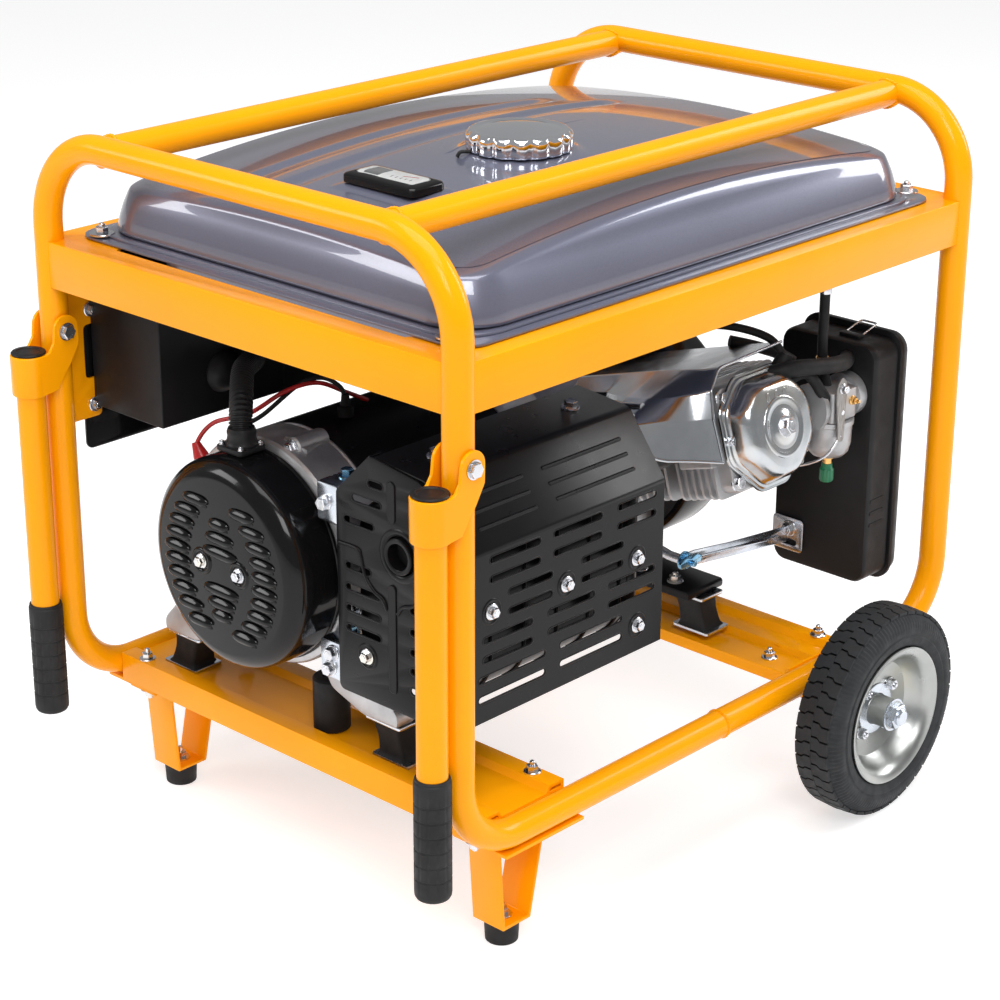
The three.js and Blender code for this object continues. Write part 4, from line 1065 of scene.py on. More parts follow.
def make_cap():
    low, high = span("fuel_cap")
    centre = middle("fuel_cap")
    body = body_of("fuel_cap")
    outer = (high.x - low.x) / 2
    height = high.z - low.z

    def scalloped(angle, r, z):
        side = ease(r, outer - 4.5, outer - 0.6) * ease(height - z, 2.0, 4.5)
        return r - 2.4 * side * (0.5 - 0.5 * math.cos(16 * angle)) ** 2.2

    profile = [(35, 0.6), (outer - 1.6, 0.4), (outer - 0.5, 1.2), (outer, 2.8)]
    crown = ((0, 6.5), (1, 4), (3.2, 2.4), (6.4, 1.8), (8, 2.6), (10, 2.9), (14, 2.2), (26, 0.8))
    profile += [(outer - inset, height - drop) for inset, drop in crown] + [(0, height)]
    lathe("cap_chrome", profile, (centre.x, centre.y, low.z), "z", CHROME, 216, 40, ["fuel_cap"], body, scalloped)
    chain = curved([(centre.x - 52, centre.y + 24, TANK_TOP - 1), (centre.x - 50, centre.y + 22, TANK_TOP + 3),
                    (centre.x - 44, centre.y + 19, TANK_TOP + 3), (centre.x - 36, centre.y + 15, TANK_TOP + 2)], 8)
    tube("cap_tether", chain, 1.6, RUBBER, 12)


def make_gauge():
    low, high = span("fuel_gauge")
    centre = middle("fuel_gauge")
    half_x, half_y = (high.x - low.x) / 2, (high.y - low.y) / 2
    height = high.z - low.z
    rings = []
    for inset, rise in ((0, 0), (0, height - 4), (0.6, height - 3), (1.8, height - 2.2), (6, height - 0.8),
                        (7.4, height - 0.8), (7.8, height - 2.6)):
        outline = rounded(centre.x - half_x + inset, centre.x + half_x - inset, centre.y - half_y + inset,
                          centre.y + half_y - inset, max(1, 6 - inset * 0.6))
        rings.append([(x, y, low.z + rise) for x, y in outline])
    loft("gauge_bezel", rings, GLOSS, 30, ["fuel_gauge"])
    dial = rounded(centre.x - 11, centre.x + 11, centre.y - 32, centre.y + 32, 3)
    plate("gauge_dial", dial, low.z + height - 3, low.z + height - 2.2, "xy", PALE, 0.2)
    band = rounded(centre.x - 9, centre.x + 9, centre.y + 8, centre.y + 26, 2)
    plate("gauge_band", band, low.z + height - 2.3, low.z + height - 1.9, "xy", PLASTIC, 0.1)
    needle = [(centre.x - 0.8, centre.y - 12), (centre.x + 0.8, centre.y - 12), (centre.x + 5, centre.y - 25),
              (centre.x + 3.6, centre.y - 26)]
    plate("gauge_needle", needle, low.z + height - 2.2, low.z + height - 1.6, "xy", RED, 0.15)
    for k in range(5):
        y = centre.y - 26 + 5.4 * k
        mark = [(centre.x - 6.6, y), (centre.x - 3.6, y), (centre.x - 3.6, y + 0.9), (centre.x - 6.6, y + 0.9)]
        plate(f"gauge_mark_{k}", mark, low.z + height - 2.3, low.z + height - 1.9, "xy", RUBBER, 0.1)
    rings = []
    for inset, rise in ((7.9, 0), (8.1, 1.3), (9.4, 2.2), (13, 2.9)):
        outline = rounded(centre.x - half_x + inset, centre.x + half_x - inset, centre.y - half_y + inset,
                          centre.y + half_y - inset, 4)
        rings.append([(x, y, low.z + height - 1.9 + rise * 0.9) for x, y in outline])
    loft("gauge_lens", rings, LENS, 40, caps="last")


def make_fuel_valve():
    refined("fuel_valve", CAST, 1.0, 2)
    refined("fuel_valve_lever", PLASTIC, 1.0, 2)


make_tank()
make_cap()
make_gauge()
make_fuel_valve()

# ------------------------------------------------------------------ engine

SHAFT_Y = middle("alternator_stator").y
SHAFT_Z = middle("alternator_stator").z
CYLINDER_X = 118
TILT = math.radians(16.5)
CYLINDER = Matrix.Translation((CYLINDER_X, SHAFT_Y, SHAFT_Z)) @ Matrix.Rotation(math.pi / 2 - TILT, 4, "X")
CYLINDER_OUT = (CYLINDER.to_3x3() @ Vector((0, 0, 1))).normalized()


def on_cylinder(x, y, z):
    return CYLINDER @ Vector((x, y, z))


def add_fins(bm, low, high, pitch, half_x0, half_x1, half_y, thickness, corner=7):
    """Cooling fins square to the cylinder, thick plates with rounded edges."""
    z = low
    while z < high:
        outline = rounded(half_x0, half_x1, -half_y, half_y, corner, 4)
        add_plate(bm, outline, z, z + thickness, edge=0.6, matrix=CYLINDER)
        z += pitch


def make_crankcase():
    low, high = span("crankcase")
    x0, x1 = low.x, high.x
    floor = low.z
    bm = bmesh.new()
    add_lathe(bm, [(20, x0 + 1), (70, x0 + 1), (74, x0 + 3), (76, x0 + 7), (76, x1 - 6), (75, x1 - 1),
                   (20, x1 - 1)], (0, SHAFT_Y, SHAFT_Z), "x", 96)
    piece(bm, "crankcase_barrel", CAST, replaced=["crankcase"])
    bm = bmesh.new()
    outline = fillet([(-70, floor - SHAFT_Z), (74, floor - SHAFT_Z), (74, -6), (60, 10), (-60, 10), (-70, -6)], 9)
    outline = [(u + SHAFT_Y, v + SHAFT_Z) for u, v in outline]
    add_plate(bm, outline, x0, x1 - 0.5, "yz", edge=2.5)
    piece(bm, "crankcase_sump", CAST, 40)
    foot = rounded(-120, 162, floor, floor + 9, 3, 3)
    plate("crankcase_foot", foot, 112, x1 - 0.5, "yz", SATIN, 1.2)
    bm = bmesh.new()
    for k in range(5):
        y = SHAFT_Y - 56 + 28 * k
        rib = [(x0 - 0.4, floor + 4), (x0 + 2.4, floor + 4), (x0 + 2.4, SHAFT_Z - 20), (x0 - 0.4, SHAFT_Z - 26)]
        add_plate(bm, rib, y - 1.6, y + 1.6, "xz", edge=0.5)
    piece(bm, "crankcase_ribs", CAST, 40)
    bm = bmesh.new()
    deck = rounded(-54, 46, -50, 50, 14, 5)
    add_plate(bm, deck, 20, 88, edge=3, matrix=CYLINDER)
    piece(bm, "crankcase_deck", CAST, 40)
    bm = bmesh.new()
    add_fins(bm, 92, 174, 9.2, -55.5, 46, 53, 3)
    add_lathe(bm, [(0, 86), (44, 86), (44, 177.6), (0, 177.6)], on_cylinder(0, 0, 0), CYLINDER_OUT, 64)
    piece(bm, "cylinder_fins", CAST, 40)
    for k, y in enumerate((-92, -48, 104, 146)):
        bolt(f"crankcase_foot_bolt_{k}", (126, y, floor + 8.6), "z", stud=3)


def make_head():
    low = 178
    bm = bmesh.new()
    add_plate(bm, rounded(-51, 49, -49, 47, 10, 5), low + 0.4, 241.4, edge=2, matrix=CYLINDER)
    add_fins(bm, low + 3, 226, 8.4, -55.5, 53.5, 53.5, 2.8)
    add_plate(bm, rounded(50, 60, -20, 24, 2, 3), low + 11, low + 51, edge=1.2, matrix=CYLINDER)
    add_plate(bm, rounded(-61.5, -52, -22, 22, 2, 3), low + 13, low + 51, edge=1.2, matrix=CYLINDER)
    piece(bm, "head_casting", CAST, 40, ["cylinder_head"])
    for k, (x, y) in enumerate(((-44, 38), (42, 38), (-44, -40), (42, -40))):
        bolt(f"head_bolt_{k}", on_cylinder(x, y, 239), CYLINDER_OUT, washer=7.5)


COVER_CORNERS = [(-57, 28), (-57, -20), (-20, -56), (20, -56), (57, -20), (57, 28), (30, 54), (-30, 54)]


def cover_outline(scale, radius):
    return fillet([(u * scale, v * scale) for u, v in COVER_CORNERS], radius, 5)


def make_rocker_cover():
    low = 242.4
    bm = bmesh.new()
    profile = [(0.985, 0.0), (0.995, 0.8), (0.995, 2.4), (0.985, 3.1), (0.955, 3.2), (0.95, 4.4), (0.94, 5.2),
               (0.9, 5.5), (0.885, 6.4), (0.87, 9), (0.84, 15), (0.8, 20), (0.755, 23.6), (0.71, 25.6),
               (0.64, 26.6)]
    rings = []
    for scale, rise in profile:
        outline = cover_outline(scale, 10 if rise > 4 else 7)
        rings.append([on_cylinder(u, v, low + rise) for u, v in outline])
    loft("rocker_dome", rings, PRESSED, 34, ["rocker_cover"], caps="last")
    bm = bmesh.new()
    top = low + 26.6
    dish = [(29, top - 0.6), (28, top + 0.5), (26.4, top + 1), (24, top + 0.6), (19, top - 0.2), (14, top + 0.4),
            (12, top + 1.4), (0, top + 1.4)]
    add_lathe(bm, dish, (0, 0, 0), "z", 96)
    for vertex in bm.verts:
        vertex.co = CYLINDER @ vertex.co
    skin(bm, "rocker_dish", PRESSED, 30)
    bolt("rocker_nut", on_cylinder(0, 0, top + 0.6), CYLINDER_OUT, 13, 10, look=ZINC)
    for k in range(3):
        mark = rounded(-17 + 12 * k, -13 + 12 * k, 26, 34, 1.5, 3)
        bm = bmesh.new()
        add_plate(bm, mark, top - 0.5, top + 0.5, edge=0.3, matrix=CYLINDER)
        piece(bm, f"rocker_mark_{k}", PRESSED, 30)
    add_flange_bolts()


def add_flange_bolts():
    for k, (x, y) in enumerate(((-50, 0), (50, 0))):
        bolt(f"rocker_flange_bolt_{k}", on_cylinder(x, y, 245.6), CYLINDER_OUT, 8, 5.5)


DUCT_ROWS = (
    (78, ((-68, 30), (-67, 44), (-66, 56), (-46, 68), (46, 69))),
    (130, ((-86, 30), (-80, 44), (-70, 56), (-46, 68), (46, 69))),
    (176, ((-146, 26), (-134, 40), (-96, 55), (-46, 68), (46, 69))),
    (206, ((-150, 21), (-136, 38), (-98, 53), (-46, 67), (46, 69))),
    (224, ((-116, 0), (-104, 32), (-84, 50), (-46, 66), (46, 69))),
    (234, ((-88, -8), (-82, 27), (-72, 49), (-47, 66), (46, 69))),
    (246, ((-64, -16), (-66, 24), (-62, 49), (-47, 66), (46, 69))),
)


def duct_line(z):
    """The bent section of the duct's sheet at one distance from the shaft."""
    for (z0, start), (z1, end) in zip(DUCT_ROWS, DUCT_ROWS[1:]):
        if z <= z1:
            t = (z - z0) / (z1 - z0)
            return [(a[0] + (b[0] - a[0]) * t, a[1] + (b[1] - a[1]) * t, z) for a, b in zip(start, end)]
    return []


def make_shroud():
    rows = 56
    grid = []
    for i in range(rows + 1):
        line = bent(duct_line(78 + 168 * i / rows), (6, 6, 12), 6)
        grid.append([on_cylinder(*p) for p in line])
    bm = bmesh.new()
    add_sheet(bm, grid)
    bmesh.ops.recalc_face_normals(bm, faces=bm.faces)
    bmesh.ops.solidify(bm, geom=bm.faces[:], thickness=1.5)
    skin(bm, "shroud_sheet", DUCT, 28, ["cylinder_shroud"])
    tube("shroud_front_hem", grid[-1], 1.4, DUCT, 12)
    tube("shroud_lower_hem", [row[0] for row in grid], 1.4, DUCT, 12)
    for k in range(2):
        rib = []
        for z in (166, 180, 194, 206):
            line = duct_line(z)
            rib.append(on_cylinder(*Vector(line[1]).lerp(Vector(line[2]), 0.3 + 0.4 * k)))
        tube(f"shroud_rib_{k}", rib, 3.2, DUCT, 16)
    plug = on_cylinder(34, 34, 236)
    out = Vector((0.35, -0.25, 0.9)).normalized()
    path = [plug + out * t for t in (-4, 4, 5, 14, 15, 24, 30)]
    tube("spark_boot", path, lambda i: (9, 9.6, 11, 11, 8.6, 8, 5.6)[i], RUBBER, 40)
    lead = curved([plug + out * 26, plug + Vector((4, 10, 40)), plug + Vector((-20, 40, 50)), (104, -96, 442),
                   (92, -40, 440)], 12)
    tube("spark_lead", lead, 3.8, RUBBER, 20)
    boot = [Vector((206, -160, 398)), Vector((196, -150, 406)), Vector((178, -136, 414)), Vector((160, -120, 420))]
    tube("throttle_cable_cover", curved(boot, 8), 5.4, RUBBER, 24)


def make_fan_side():
    low, high = span("fan_housing")
    x0, x1 = low.x, high.x
    profile = [(60, x0 + 0.3), (108, x0 + 0.3), (112, x0 + 1), (116, x0 + 5), (117.8, x0 + 10), (117.8, x1 - 3),
               (117, x1 - 0.6), (115.5, x1 - 0.2), (106, x1 - 0.2), (106, x0 + 12), (60, x0 + 12)]
    on_shaft("fan_housing_shell", profile, GLOSS, 128, 35, ["fan_housing"])
    for k in range(0, 12, 3):
        angle = math.pi * k / 6 + 0.2
        out = (0, math.cos(angle), math.sin(angle))
        bolt(f"fan_housing_bolt_{k}", Vector((x1 - 22, SHAFT_Y, SHAFT_Z)) + Vector(out) * 116.6, out, 9, 6)
    low, high = span("recoil_housing")
    x0, x1 = low.x, high.x
    shell = [(104, x0 + 0.4), (111.6, x0 + 0.4), (111.6, x0 + 4), (110, x0 + 9), (107, x0 + 12.4), (90, x0 + 17.2),
             (74, x0 + 20.6), (70, x0 + 23.5), (68, x0 + 29), (63, x1 - 9), (60.5, x1 - 4), (56, x1 - 1),
             (52, x1 - 0.3), (48, x1 - 0.3), (46, x1 - 1.8), (20, x1 - 1.8), (17, x1 - 0.3), (0, x1 - 0.3)]
    on_shaft("recoil_shell", shell, GLOSS, 128, replaced=["recoil_housing"])
    bm = bmesh.new()
    for k in range(20):
        angle = 2 * math.pi * k / 20
        matrix = Matrix.Translation((x0 + 15.2, SHAFT_Y, SHAFT_Z)) @ Matrix.Rotation(angle, 4, "X") @ PLANES["yz"]
        add_plate(bm, slot(80, 98, 0, 2.4, 4), -0.6, 1.8, edge=0.5, matrix=matrix)
    piece(bm, "recoil_louvers", SATIN, 40)
    bm = bmesh.new()
    for k in range(12):
        angle = 2 * math.pi * (k + 0.5) / 12
        matrix = Matrix.Translation((x1 - 1.8, SHAFT_Y, SHAFT_Z)) @ Matrix.Rotation(angle, 4, "X") @ PLANES["yz"]
        add_plate(bm, slot(23, 40, 0, 2, 4), -0.4, 1.2, edge=0.4, matrix=matrix)
    piece(bm, "recoil_face_ribs", SATIN, 40)
    for k in range(3):
        angle = 2 * math.pi * k / 3 + 0.5
        place = (x0 + 10.4, SHAFT_Y + 106.5 * math.cos(angle), SHAFT_Z + 106.5 * math.sin(angle))
        bolt(f"recoil_bolt_{k}", place, "x", 8, 4.6)
    boss_x = middle("starter_grip").x
    grip_z = middle("starter_grip").z
    boss = [(0, 56), (9, 56), (9, 82), (8, 84.5), (5, 86), (3.2, 86), (3.2, 80), (0, 80)]
    lathe("recoil_boss", boss, (boss_x, SHAFT_Y, grip_z), "y", PLASTIC, 48)


def make_starter_grip():
    body = body_of("starter_grip")
    centre = middle("starter_grip")
    y1 = span("starter_grip")[1].y
    rings = []
    for inset, y in ((2.5, y1 - 12), (0.6, y1 - 11), (0.2, y1 - 8), (0.2, y1 - 4), (1.2, y1 - 1.4),
                     (3.4, y1 - 0.2)):
        ring = []
        half_u, half_v = 7.8 - inset, 27.8 - inset
        for u, v in fillet([(-half_u, -half_v), (half_u, -half_v), (half_u, half_v), (-half_u, half_v)], 6, 6):
            ring.append((centre.x + u, y, centre.z + v))
        rings.append(ring)
    loft("starter_bar", rings, PLASTIC, 40, ["starter_grip"], body)
    stem = [(0, -18), (3.8, -18), (4.8, -16), (4.8, -4), (6.6, 0), (0, 0)]
    lathe("starter_stem", stem, (centre.x, y1 - 9, centre.z), "y", PLASTIC, 40, body=body)
    start, end = (centre.x, y1 - 44, centre.z), (centre.x, y1 - 26, centre.z)
    line = [Vector(start).lerp(Vector(end), k / 36) for k in range(37)]
    bm = bmesh.new()
    add_tube(bm, line, lambda i: 2.3 + 0.2 * math.sin(i * 1.9), 16)
    rope = smooth(from_bmesh(bm, "starter_rope"), 60)
    rope.data.materials.append(RUBBER.material)
    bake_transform(rope)


make_crankcase()
make_head()
make_rocker_cover()
make_shroud()
make_fan_side()
make_starter_grip()
keep("rotor", STEEL)
keep("flywheel", CAST)

# ------------------------------------------------------------------ alternator

COVER_FACE = span("alternator_end_cover")[0].x
COVER_BACK = span("alternator_end_cover")[1].x


def make_louver(bm, y, z, half):
    """A pressed hood: a long half-round bulge, open along its lower edge over a dark slit, a black plate that paints
    the shade inside the opening.
    """
    rows = []
    steps = 10
    for i in range(17):
        t = i / 8 - 1
        swell = (1 - abs(t) ** 3.2) ** 0.5 if abs(t) < 1 else 0
        along = half * t
        row = []
        for k in range(steps + 1):
            depth = 4.6 * swell * math.sin(math.pi * (0.12 + 0.62 * k / steps))
            row.append((COVER_FACE + 0.6 - depth + 0.5, y + along, z + 4.4 * swell - 8.8 * swell * k / steps))
        rows.append(row)
    add_sheet(bm, rows)


def make_end_cover():
    back = COVER_BACK - COVER_FACE
    # Heights count away from the cover's face, along +X.
    shell = [(0, 1.2), (78.5, 1.2), (80, 1.5), (84, 3), (88, 5.6), (91.6, 9.2), (93.8, 13.2), (94.6, 17.5),
             (94.9, 22), (94.9, back - 3), (96.2, back - 2.4), (96.2, back - 0.4), (93, back - 0.2),
             (92.4, back - 2)]
    profile = [(r, COVER_FACE + h) for r, h in shell]
    on_shaft("end_cover_shell", profile, GLOSS, replaced=["alternator_end_cover"])
    hoods = bmesh.new()
    shade_slits = bmesh.new()
    rows = [(u_side, 56 - 12.5 * k) for u_side in (-1, 1) for k in range(10)]
    spots = [(side * (math.sqrt(72 ** 2 - v ** 2) - 16), v, 16) for side, v in rows]
    for v, half in ((40, 12.5), (27, 18), (13.5, 22.5), (-21, 22.5), (-33, 17.5), (-44, 12.5)):
        spots.append((0, v, half))
    for u, v, half in spots:
        make_louver(hoods, SHAFT_Y + u, SHAFT_Z + v, half)
        # Each slit is a flat black plate under the hood's open edge: painted shade in the louver opening.
        shade_slit = slot(SHAFT_Y + u - half + 3, SHAFT_Y + u + half - 3, SHAFT_Z + v - 4.6, 1.3, 4)
        add_plate(shade_slits, shade_slit, COVER_FACE + 0.75, COVER_FACE + 1.5, "yz", edge=0.1)
    skin(hoods, "end_cover_louvers", GLOSS, 70)
    piece(shade_slits, "end_cover_shade_slits", RUBBER, 40)
    for side in (-1, 1):
        centre = (COVER_FACE + 0.3, SHAFT_Y + 24 * side, SHAFT_Z)
        ring = [(12.5, -0.9), (11.8, 0.1), (10.6, 0.9), (9.6, 0.9), (8.2, 0.2), (7.6, -0.9)]
        lathe(f"end_cover_dimple_{(side + 1) // 2}", ring, centre, (-1, 0, 0), GLOSS, 64, 60)
        bolt(f"end_cover_bolt_{(side + 1) // 2}", (centre[0] + 0.7, centre[1], centre[2]), (-1, 0, 0), 8, 6.6)


def make_bell():
    low, high = span("alternator_end_bell")
    x0 = COVER_BACK + 0.3
    x1 = high.x
    profile = [(60, x0 + 5), (88, x0 + 5), (90, x0 + 0.4), (96, x0 + 0.4), (101, x0 + 2.4), (102.8, x0 + 5),
               (102.8, x1 - 5), (101.6, x1 - 3.6), (101.6, x1 - 2.6), (102.8, x1 - 1.2), (102.8, x1 - 0.1),
               (92, x1 - 0.1), (90, x1 - 4), (60, x0 + 20)]
    on_shaft("bell_casting", profile, CAST, replaced=["alternator_end_bell"])
    floor = low.z
    for name, side in SIDES.items():
        corners = [(78, -56), (90, -44), (152, floor - SHAFT_Z + 12), (152, floor - SHAFT_Z),
                   (110, floor - SHAFT_Z), (70, floor - SHAFT_Z + 14), (60, -88)]
        outline = [(SHAFT_Y + side * y, SHAFT_Z + z) for y, z in fillet(corners, 6, 4)]
        plate(f"bell_foot_{name}", outline, x0 + 8, x0 + 30, "yz", CAST, 2.4)
        bolt(f"bell_foot_bolt_{name}", (x0 + 19, SHAFT_Y + side * 138, floor + 17), (0, side * 0.5, 0.86), 12, 9)
    for k in range(4):
        angle = math.radians((104, 196, 344, 20)[k])
        y, z = SHAFT_Y + 101 * math.cos(angle), SHAFT_Z + 101 * math.sin(angle)
        bm = bmesh.new()
        add_lathe(bm, [(0, 0), (8, 0), (9.4, 1.6), (9.6, 32), (8.6, 35), (0, 35)], (x0 + 13, y, z), "x", 40)
        spread = [(x0 + 15, -15), (x0 + 15, 15), (x1 - 3, 6), (x1 - 3, -6)]
        lay = Matrix.Translation((0, SHAFT_Y, SHAFT_Z)) @ Matrix.Rotation(angle - math.pi / 2, 4, "X")
        add_plate(bm, fillet(spread, 4, 3), 99, 105.4, "xy", edge=1.6, matrix=lay)
        piece(bm, f"bell_boss_{k}", CAST)
        bolt(f"bell_bolt_{k}", (x0 + 13.6, y, z), (-1, 0, 0))
    for k, (top, bolts) in enumerate(((388, ((-55, 371),)), (246, ((-60, 236), (-57, 221))))):
        face = rounded(-70, -45, top - 34, top, 3, 4)
        plate(f"guard_bracket_face_{k}", face, -290.5, -287.5, "yz", PLATED, 0.5)
        leg = rounded(-289, -252, -70, -45, 3, 4)
        plate(f"guard_bracket_{k}", leg, top - 3, top, "xy", PLATED, 0.5)
        for n, (y, z) in enumerate(bolts):
            bolt(f"guard_bracket_bolt_{k}_{n}", (-290.4, y, z), (-1, 0, 0), washer=7)
        bolt(f"guard_bracket_top_{k}", (-267, -57, top), "z", look=BLUED)


def make_stator():
    low, high = span("alternator_stator")
    profile = [(86, low.x + 0.2), (101.4, low.x + 0.2), (102.8, low.x + 1.4), (102.8, high.x - 1.4),
               (101.4, high.x - 0.2), (86, high.x - 0.2)]
    on_shaft("stator_shell", profile, SATIN, replaced=["alternator_stator"])
    for k in range(4):
        angle = math.pi / 4 + math.pi / 2 * k
        y, z = SHAFT_Y + 98.4 * math.cos(angle), SHAFT_Z + 98.4 * math.sin(angle)
        tube(f"stator_stud_{k}", [(low.x + 8, y, z), (high.x - 1, y, z)], 4.2, ZINC, 24)
    low, high = span("alternator_adaptor")
    profile = [(86, low.x + 0.2), (102, low.x + 0.2), (102.8, low.x + 1.2), (102.8, low.x + 9), (101, low.x + 11),
               (93, high.x - 3), (91, high.x - 0.2), (20, high.x - 0.2)]
    on_shaft("adaptor_casting", profile, CAST, replaced=["alternator_adaptor"])
    ribs = bmesh.new()
    for k in range(10):
        angle = 2 * math.pi * k / 10 + 0.3
        matrix = Matrix.Translation((0, SHAFT_Y, SHAFT_Z)) @ Matrix.Rotation(angle, 4, "X")
        outline = [(low.x + 9, 88), (low.x + 9, 102), (low.x + 14, 101.5), (high.x - 2, 95), (high.x - 2, 88)]
        add_plate(ribs, outline, -2.2, 2.2, "xy", edge=0.7, matrix=matrix)
    piece(ribs, "adaptor_ribs", CAST, 30)


def make_conduit():
    foot = 96.3
    points = [(-290, 8, foot + 1), (-290, 9, foot + 18), (-278, 21, foot + 36), (-245, 55, foot + 48),
              (-206, 86, 138), (-198, 98, 138), (-198, 109.2, 138)]
    line = curved([(x, y + SHAFT_Y, z + SHAFT_Z) for x, y, z in points], 40)
    dense = [line[0]]
    for a, b in zip(line, line[1:]):
        steps = max(1, round((b - a).length / 0.7))
        dense += [a.lerp(b, (k + 1) / steps) for k in range(steps)]
    tube("conduit_hose", dense, lambda i: 9.5 + 0.95 * math.sin(i * 0.7 * 2 * math.pi / 4.2), PLASTIC,
         replaced=["cable_conduit"])
    gland = rounded(-306, -276, SHAFT_Y - 8, SHAFT_Y + 24, 3, 4)
    z = SHAFT_Z + foot
    plate("conduit_gland", gland, z, z + 4.8, "xy", PLASTIC, 0.9)
    boot = [(14, 0), (14, 2), (13, 3.4), (12.2, 9), (12.6, 10.4), (12.6, 12.6), (11.4, 15.5), (9.4, 16)]
    lathe("conduit_boot", boot, (-290, SHAFT_Y + 8, z + 4.6), "z", PLASTIC, 48)
    for k, (x, y) in enumerate(((-302, -4), (-280, 20), (-302, 20), (-280, -4))):
        bolt(f"conduit_screw_{k}", (x, SHAFT_Y + y, z + 4.4), "z", 4, 2.8)
    red = curved([(-266, 128, 352), (-267, 136, 366), (-262, 118, 390), (-250, 84, 404), (-226, 62, 424),
                  (-200, 50, 428), (-172, 44, 414), (-150, 40, 402)], 14)
    tube("lead_red", red, 2, RED, 20)
    tube("lead_red_boot", [Vector((-266, 127, 350)), Vector((-266.5, 131, 358)), Vector((-267, 137, 369))],
         lambda i: (8, 7, 3.6)[i], RED)
    dark = curved([(-256, 104, 364), (-250, 100, 384), (-238, 78, 402), (-214, 58, 428), (-196, 48, 432),
                   (-186, 36, 424), (-184, 32, 412)], 14)
    tube("lead_dark", dark, 2, RUBBER, 20)
    boot = [Vector((-184, 32, 418)), Vector((-184, 32, 408)), Vector((-184, 32, 407)), Vector((-184, 32, 398))]
    tube("lead_dark_boot", boot, lambda i: (3.4, 4.4, 7, 7)[i], RUBBER)


make_end_cover()
make_bell()
make_stator()
make_conduit()

# ------------------------------------------------------------------ rubber mounts


def make_mount(node, lean):
    """Two zinc plates with a bulging rubber block bonded between them."""
    low, high = span(node)
    centre = (low + high) / 2
    height = high.z - low.z
    base_y = centre.y - lean / 2
    bm = bmesh.new()
    for shift, z0, z1 in ((0, 0, 3), (lean, height - 3, height)):
        outline = rounded(centre.x - 16.8, centre.x + 16.8, base_y + shift - 21.8, base_y + shift + 21.8, 3, 4)
        add_plate(bm, outline, low.z + z0, low.z + z1, edge=0.6)
    piece(bm, node + "_plates", PLATED, 40, [node])
    rings = []
    steps = 12
    for k in range(steps + 1):
        t = k / steps
        pinch = 1.6 * math.sin(math.pi * t) - (1.4 if k in (0, steps) else 0)
        y = base_y + lean * t
        z = low.z + 2.6 + (height - 5.2) * t
        outline = rounded(centre.x - 14.6 + pinch, centre.x + 14.6 - pinch, y - 16 + pinch, y + 16 - pinch, 4, 5)
        rings.append([(u, v, z) for u, v in outline])
    loft(node + "_rubber", rings, RUBBER, 40, caps="")


for mount_name, mount_side in SIDES.items():
    make_mount(f"alternator_mount_{mount_name}", -8 * mount_side)
    make_mount(f"engine_mount_{mount_name}", -8 * mount_side)

# ------------------------------------------------------------------ carburettor and air cleaner


def make_carburettor():
    x1 = span("carburettor")[1].x
    cx, cy, cz = 213, -199, 366
    bm = bmesh.new()
    add_lathe(bm, [(0, 183), (22, 183), (22, 189), (17, 190), (16.6, 196), (16.6, x1 - 12), (21, x1 - 11),
                   (21, x1 - 0.2), (0, x1 - 0.2)], (0, -195, cz), "x", 64)
    add_plate(bm, fillet([(194, -217), (232, -217), (232, -177), (194, -177)], 6, 4), cz - 14, cz + 15.6, edge=2)
    skin(bm, "carburettor_body", CAST, replaced=["carburettor"])
    bowl = [(0, -52), (10, -52), (15, -50.4), (19, -46), (21, -38), (21.4, -20), (22.8, -19), (22.8, -14.4),
            (0, -14.4)]
    lathe("carburettor_bowl", bowl, (cx, cy, cz), "z", CAST, 64, 30)
    lathe("carburettor_drain_neck", [(0, -60), (4.4, -60), (4.4, -52), (6.4, -51), (6.4, -49), (0, -49)],
          (cx, cy, cz), "z", BRASS, 32, 30)
    cap = [(0, -77.8), (5.6, -77.8), (6.8, -76), (6.8, -66), (5.4, -64.6), (5, -60), (0, -60)]

    def notched(angle, r, _):
        return r - (0.5 if r > 6 and math.cos(12 * angle) > 0.2 else 0)

    lathe("carburettor_drain_cap", cap, (cx, cy, cz), "z", GREEN, 40, 30, radius_of=notched)
    bm = bmesh.new()
    add_hex(bm, (cx, cy, cz - 55), "z", 11, 0, 5)
    piece(bm, "carburettor_drain_nut", BRASS, 30)
    bolt("carburettor_idle_screw", (222, -217, cz + 4), (0, -1, 0), 6, 4.4, 4, BRASS)
    bolt("carburettor_body_screw", (201, -217, cz - 2), (0, -1, 0), 7, 4.6)
    arm = fillet([(196, cz - 30), (204, cz - 30), (206, cz + 26), (198, cz + 34), (190, cz + 24)], 4, 4)
    plate("throttle_arm", arm, -222.4, -220.6, "xz", STEEL)
    bolt("throttle_arm_nut", (198.5, -222.4, cz + 22), (0, -1, 0), 7, 5)
    rod = curved([(200, -221.4, cz - 24), (184, -214, cz - 44), (176, -178, cz - 60), (172, -140, cz - 66)], 14)
    tube("governor_rod", rod, 1.3, ZINC, 12)
    lever = curved([(173, -142, cz - 62), (176, -124, cz - 58), (178, -108, cz - 50)], 14)
    tube("governor_lever", lever, 2.4, ZINC, 16)
    coils = [(188 + 0.5 * k, -206 + 4.2 * math.cos(k * 0.7), cz - 36 + 4.2 * math.sin(k * 0.7)) for k in range(70)]
    tube("governor_spring", [Vector((x - 14, y + 22, z - 8)) for x, y, z in coils], 0.8, ZINC, 8)


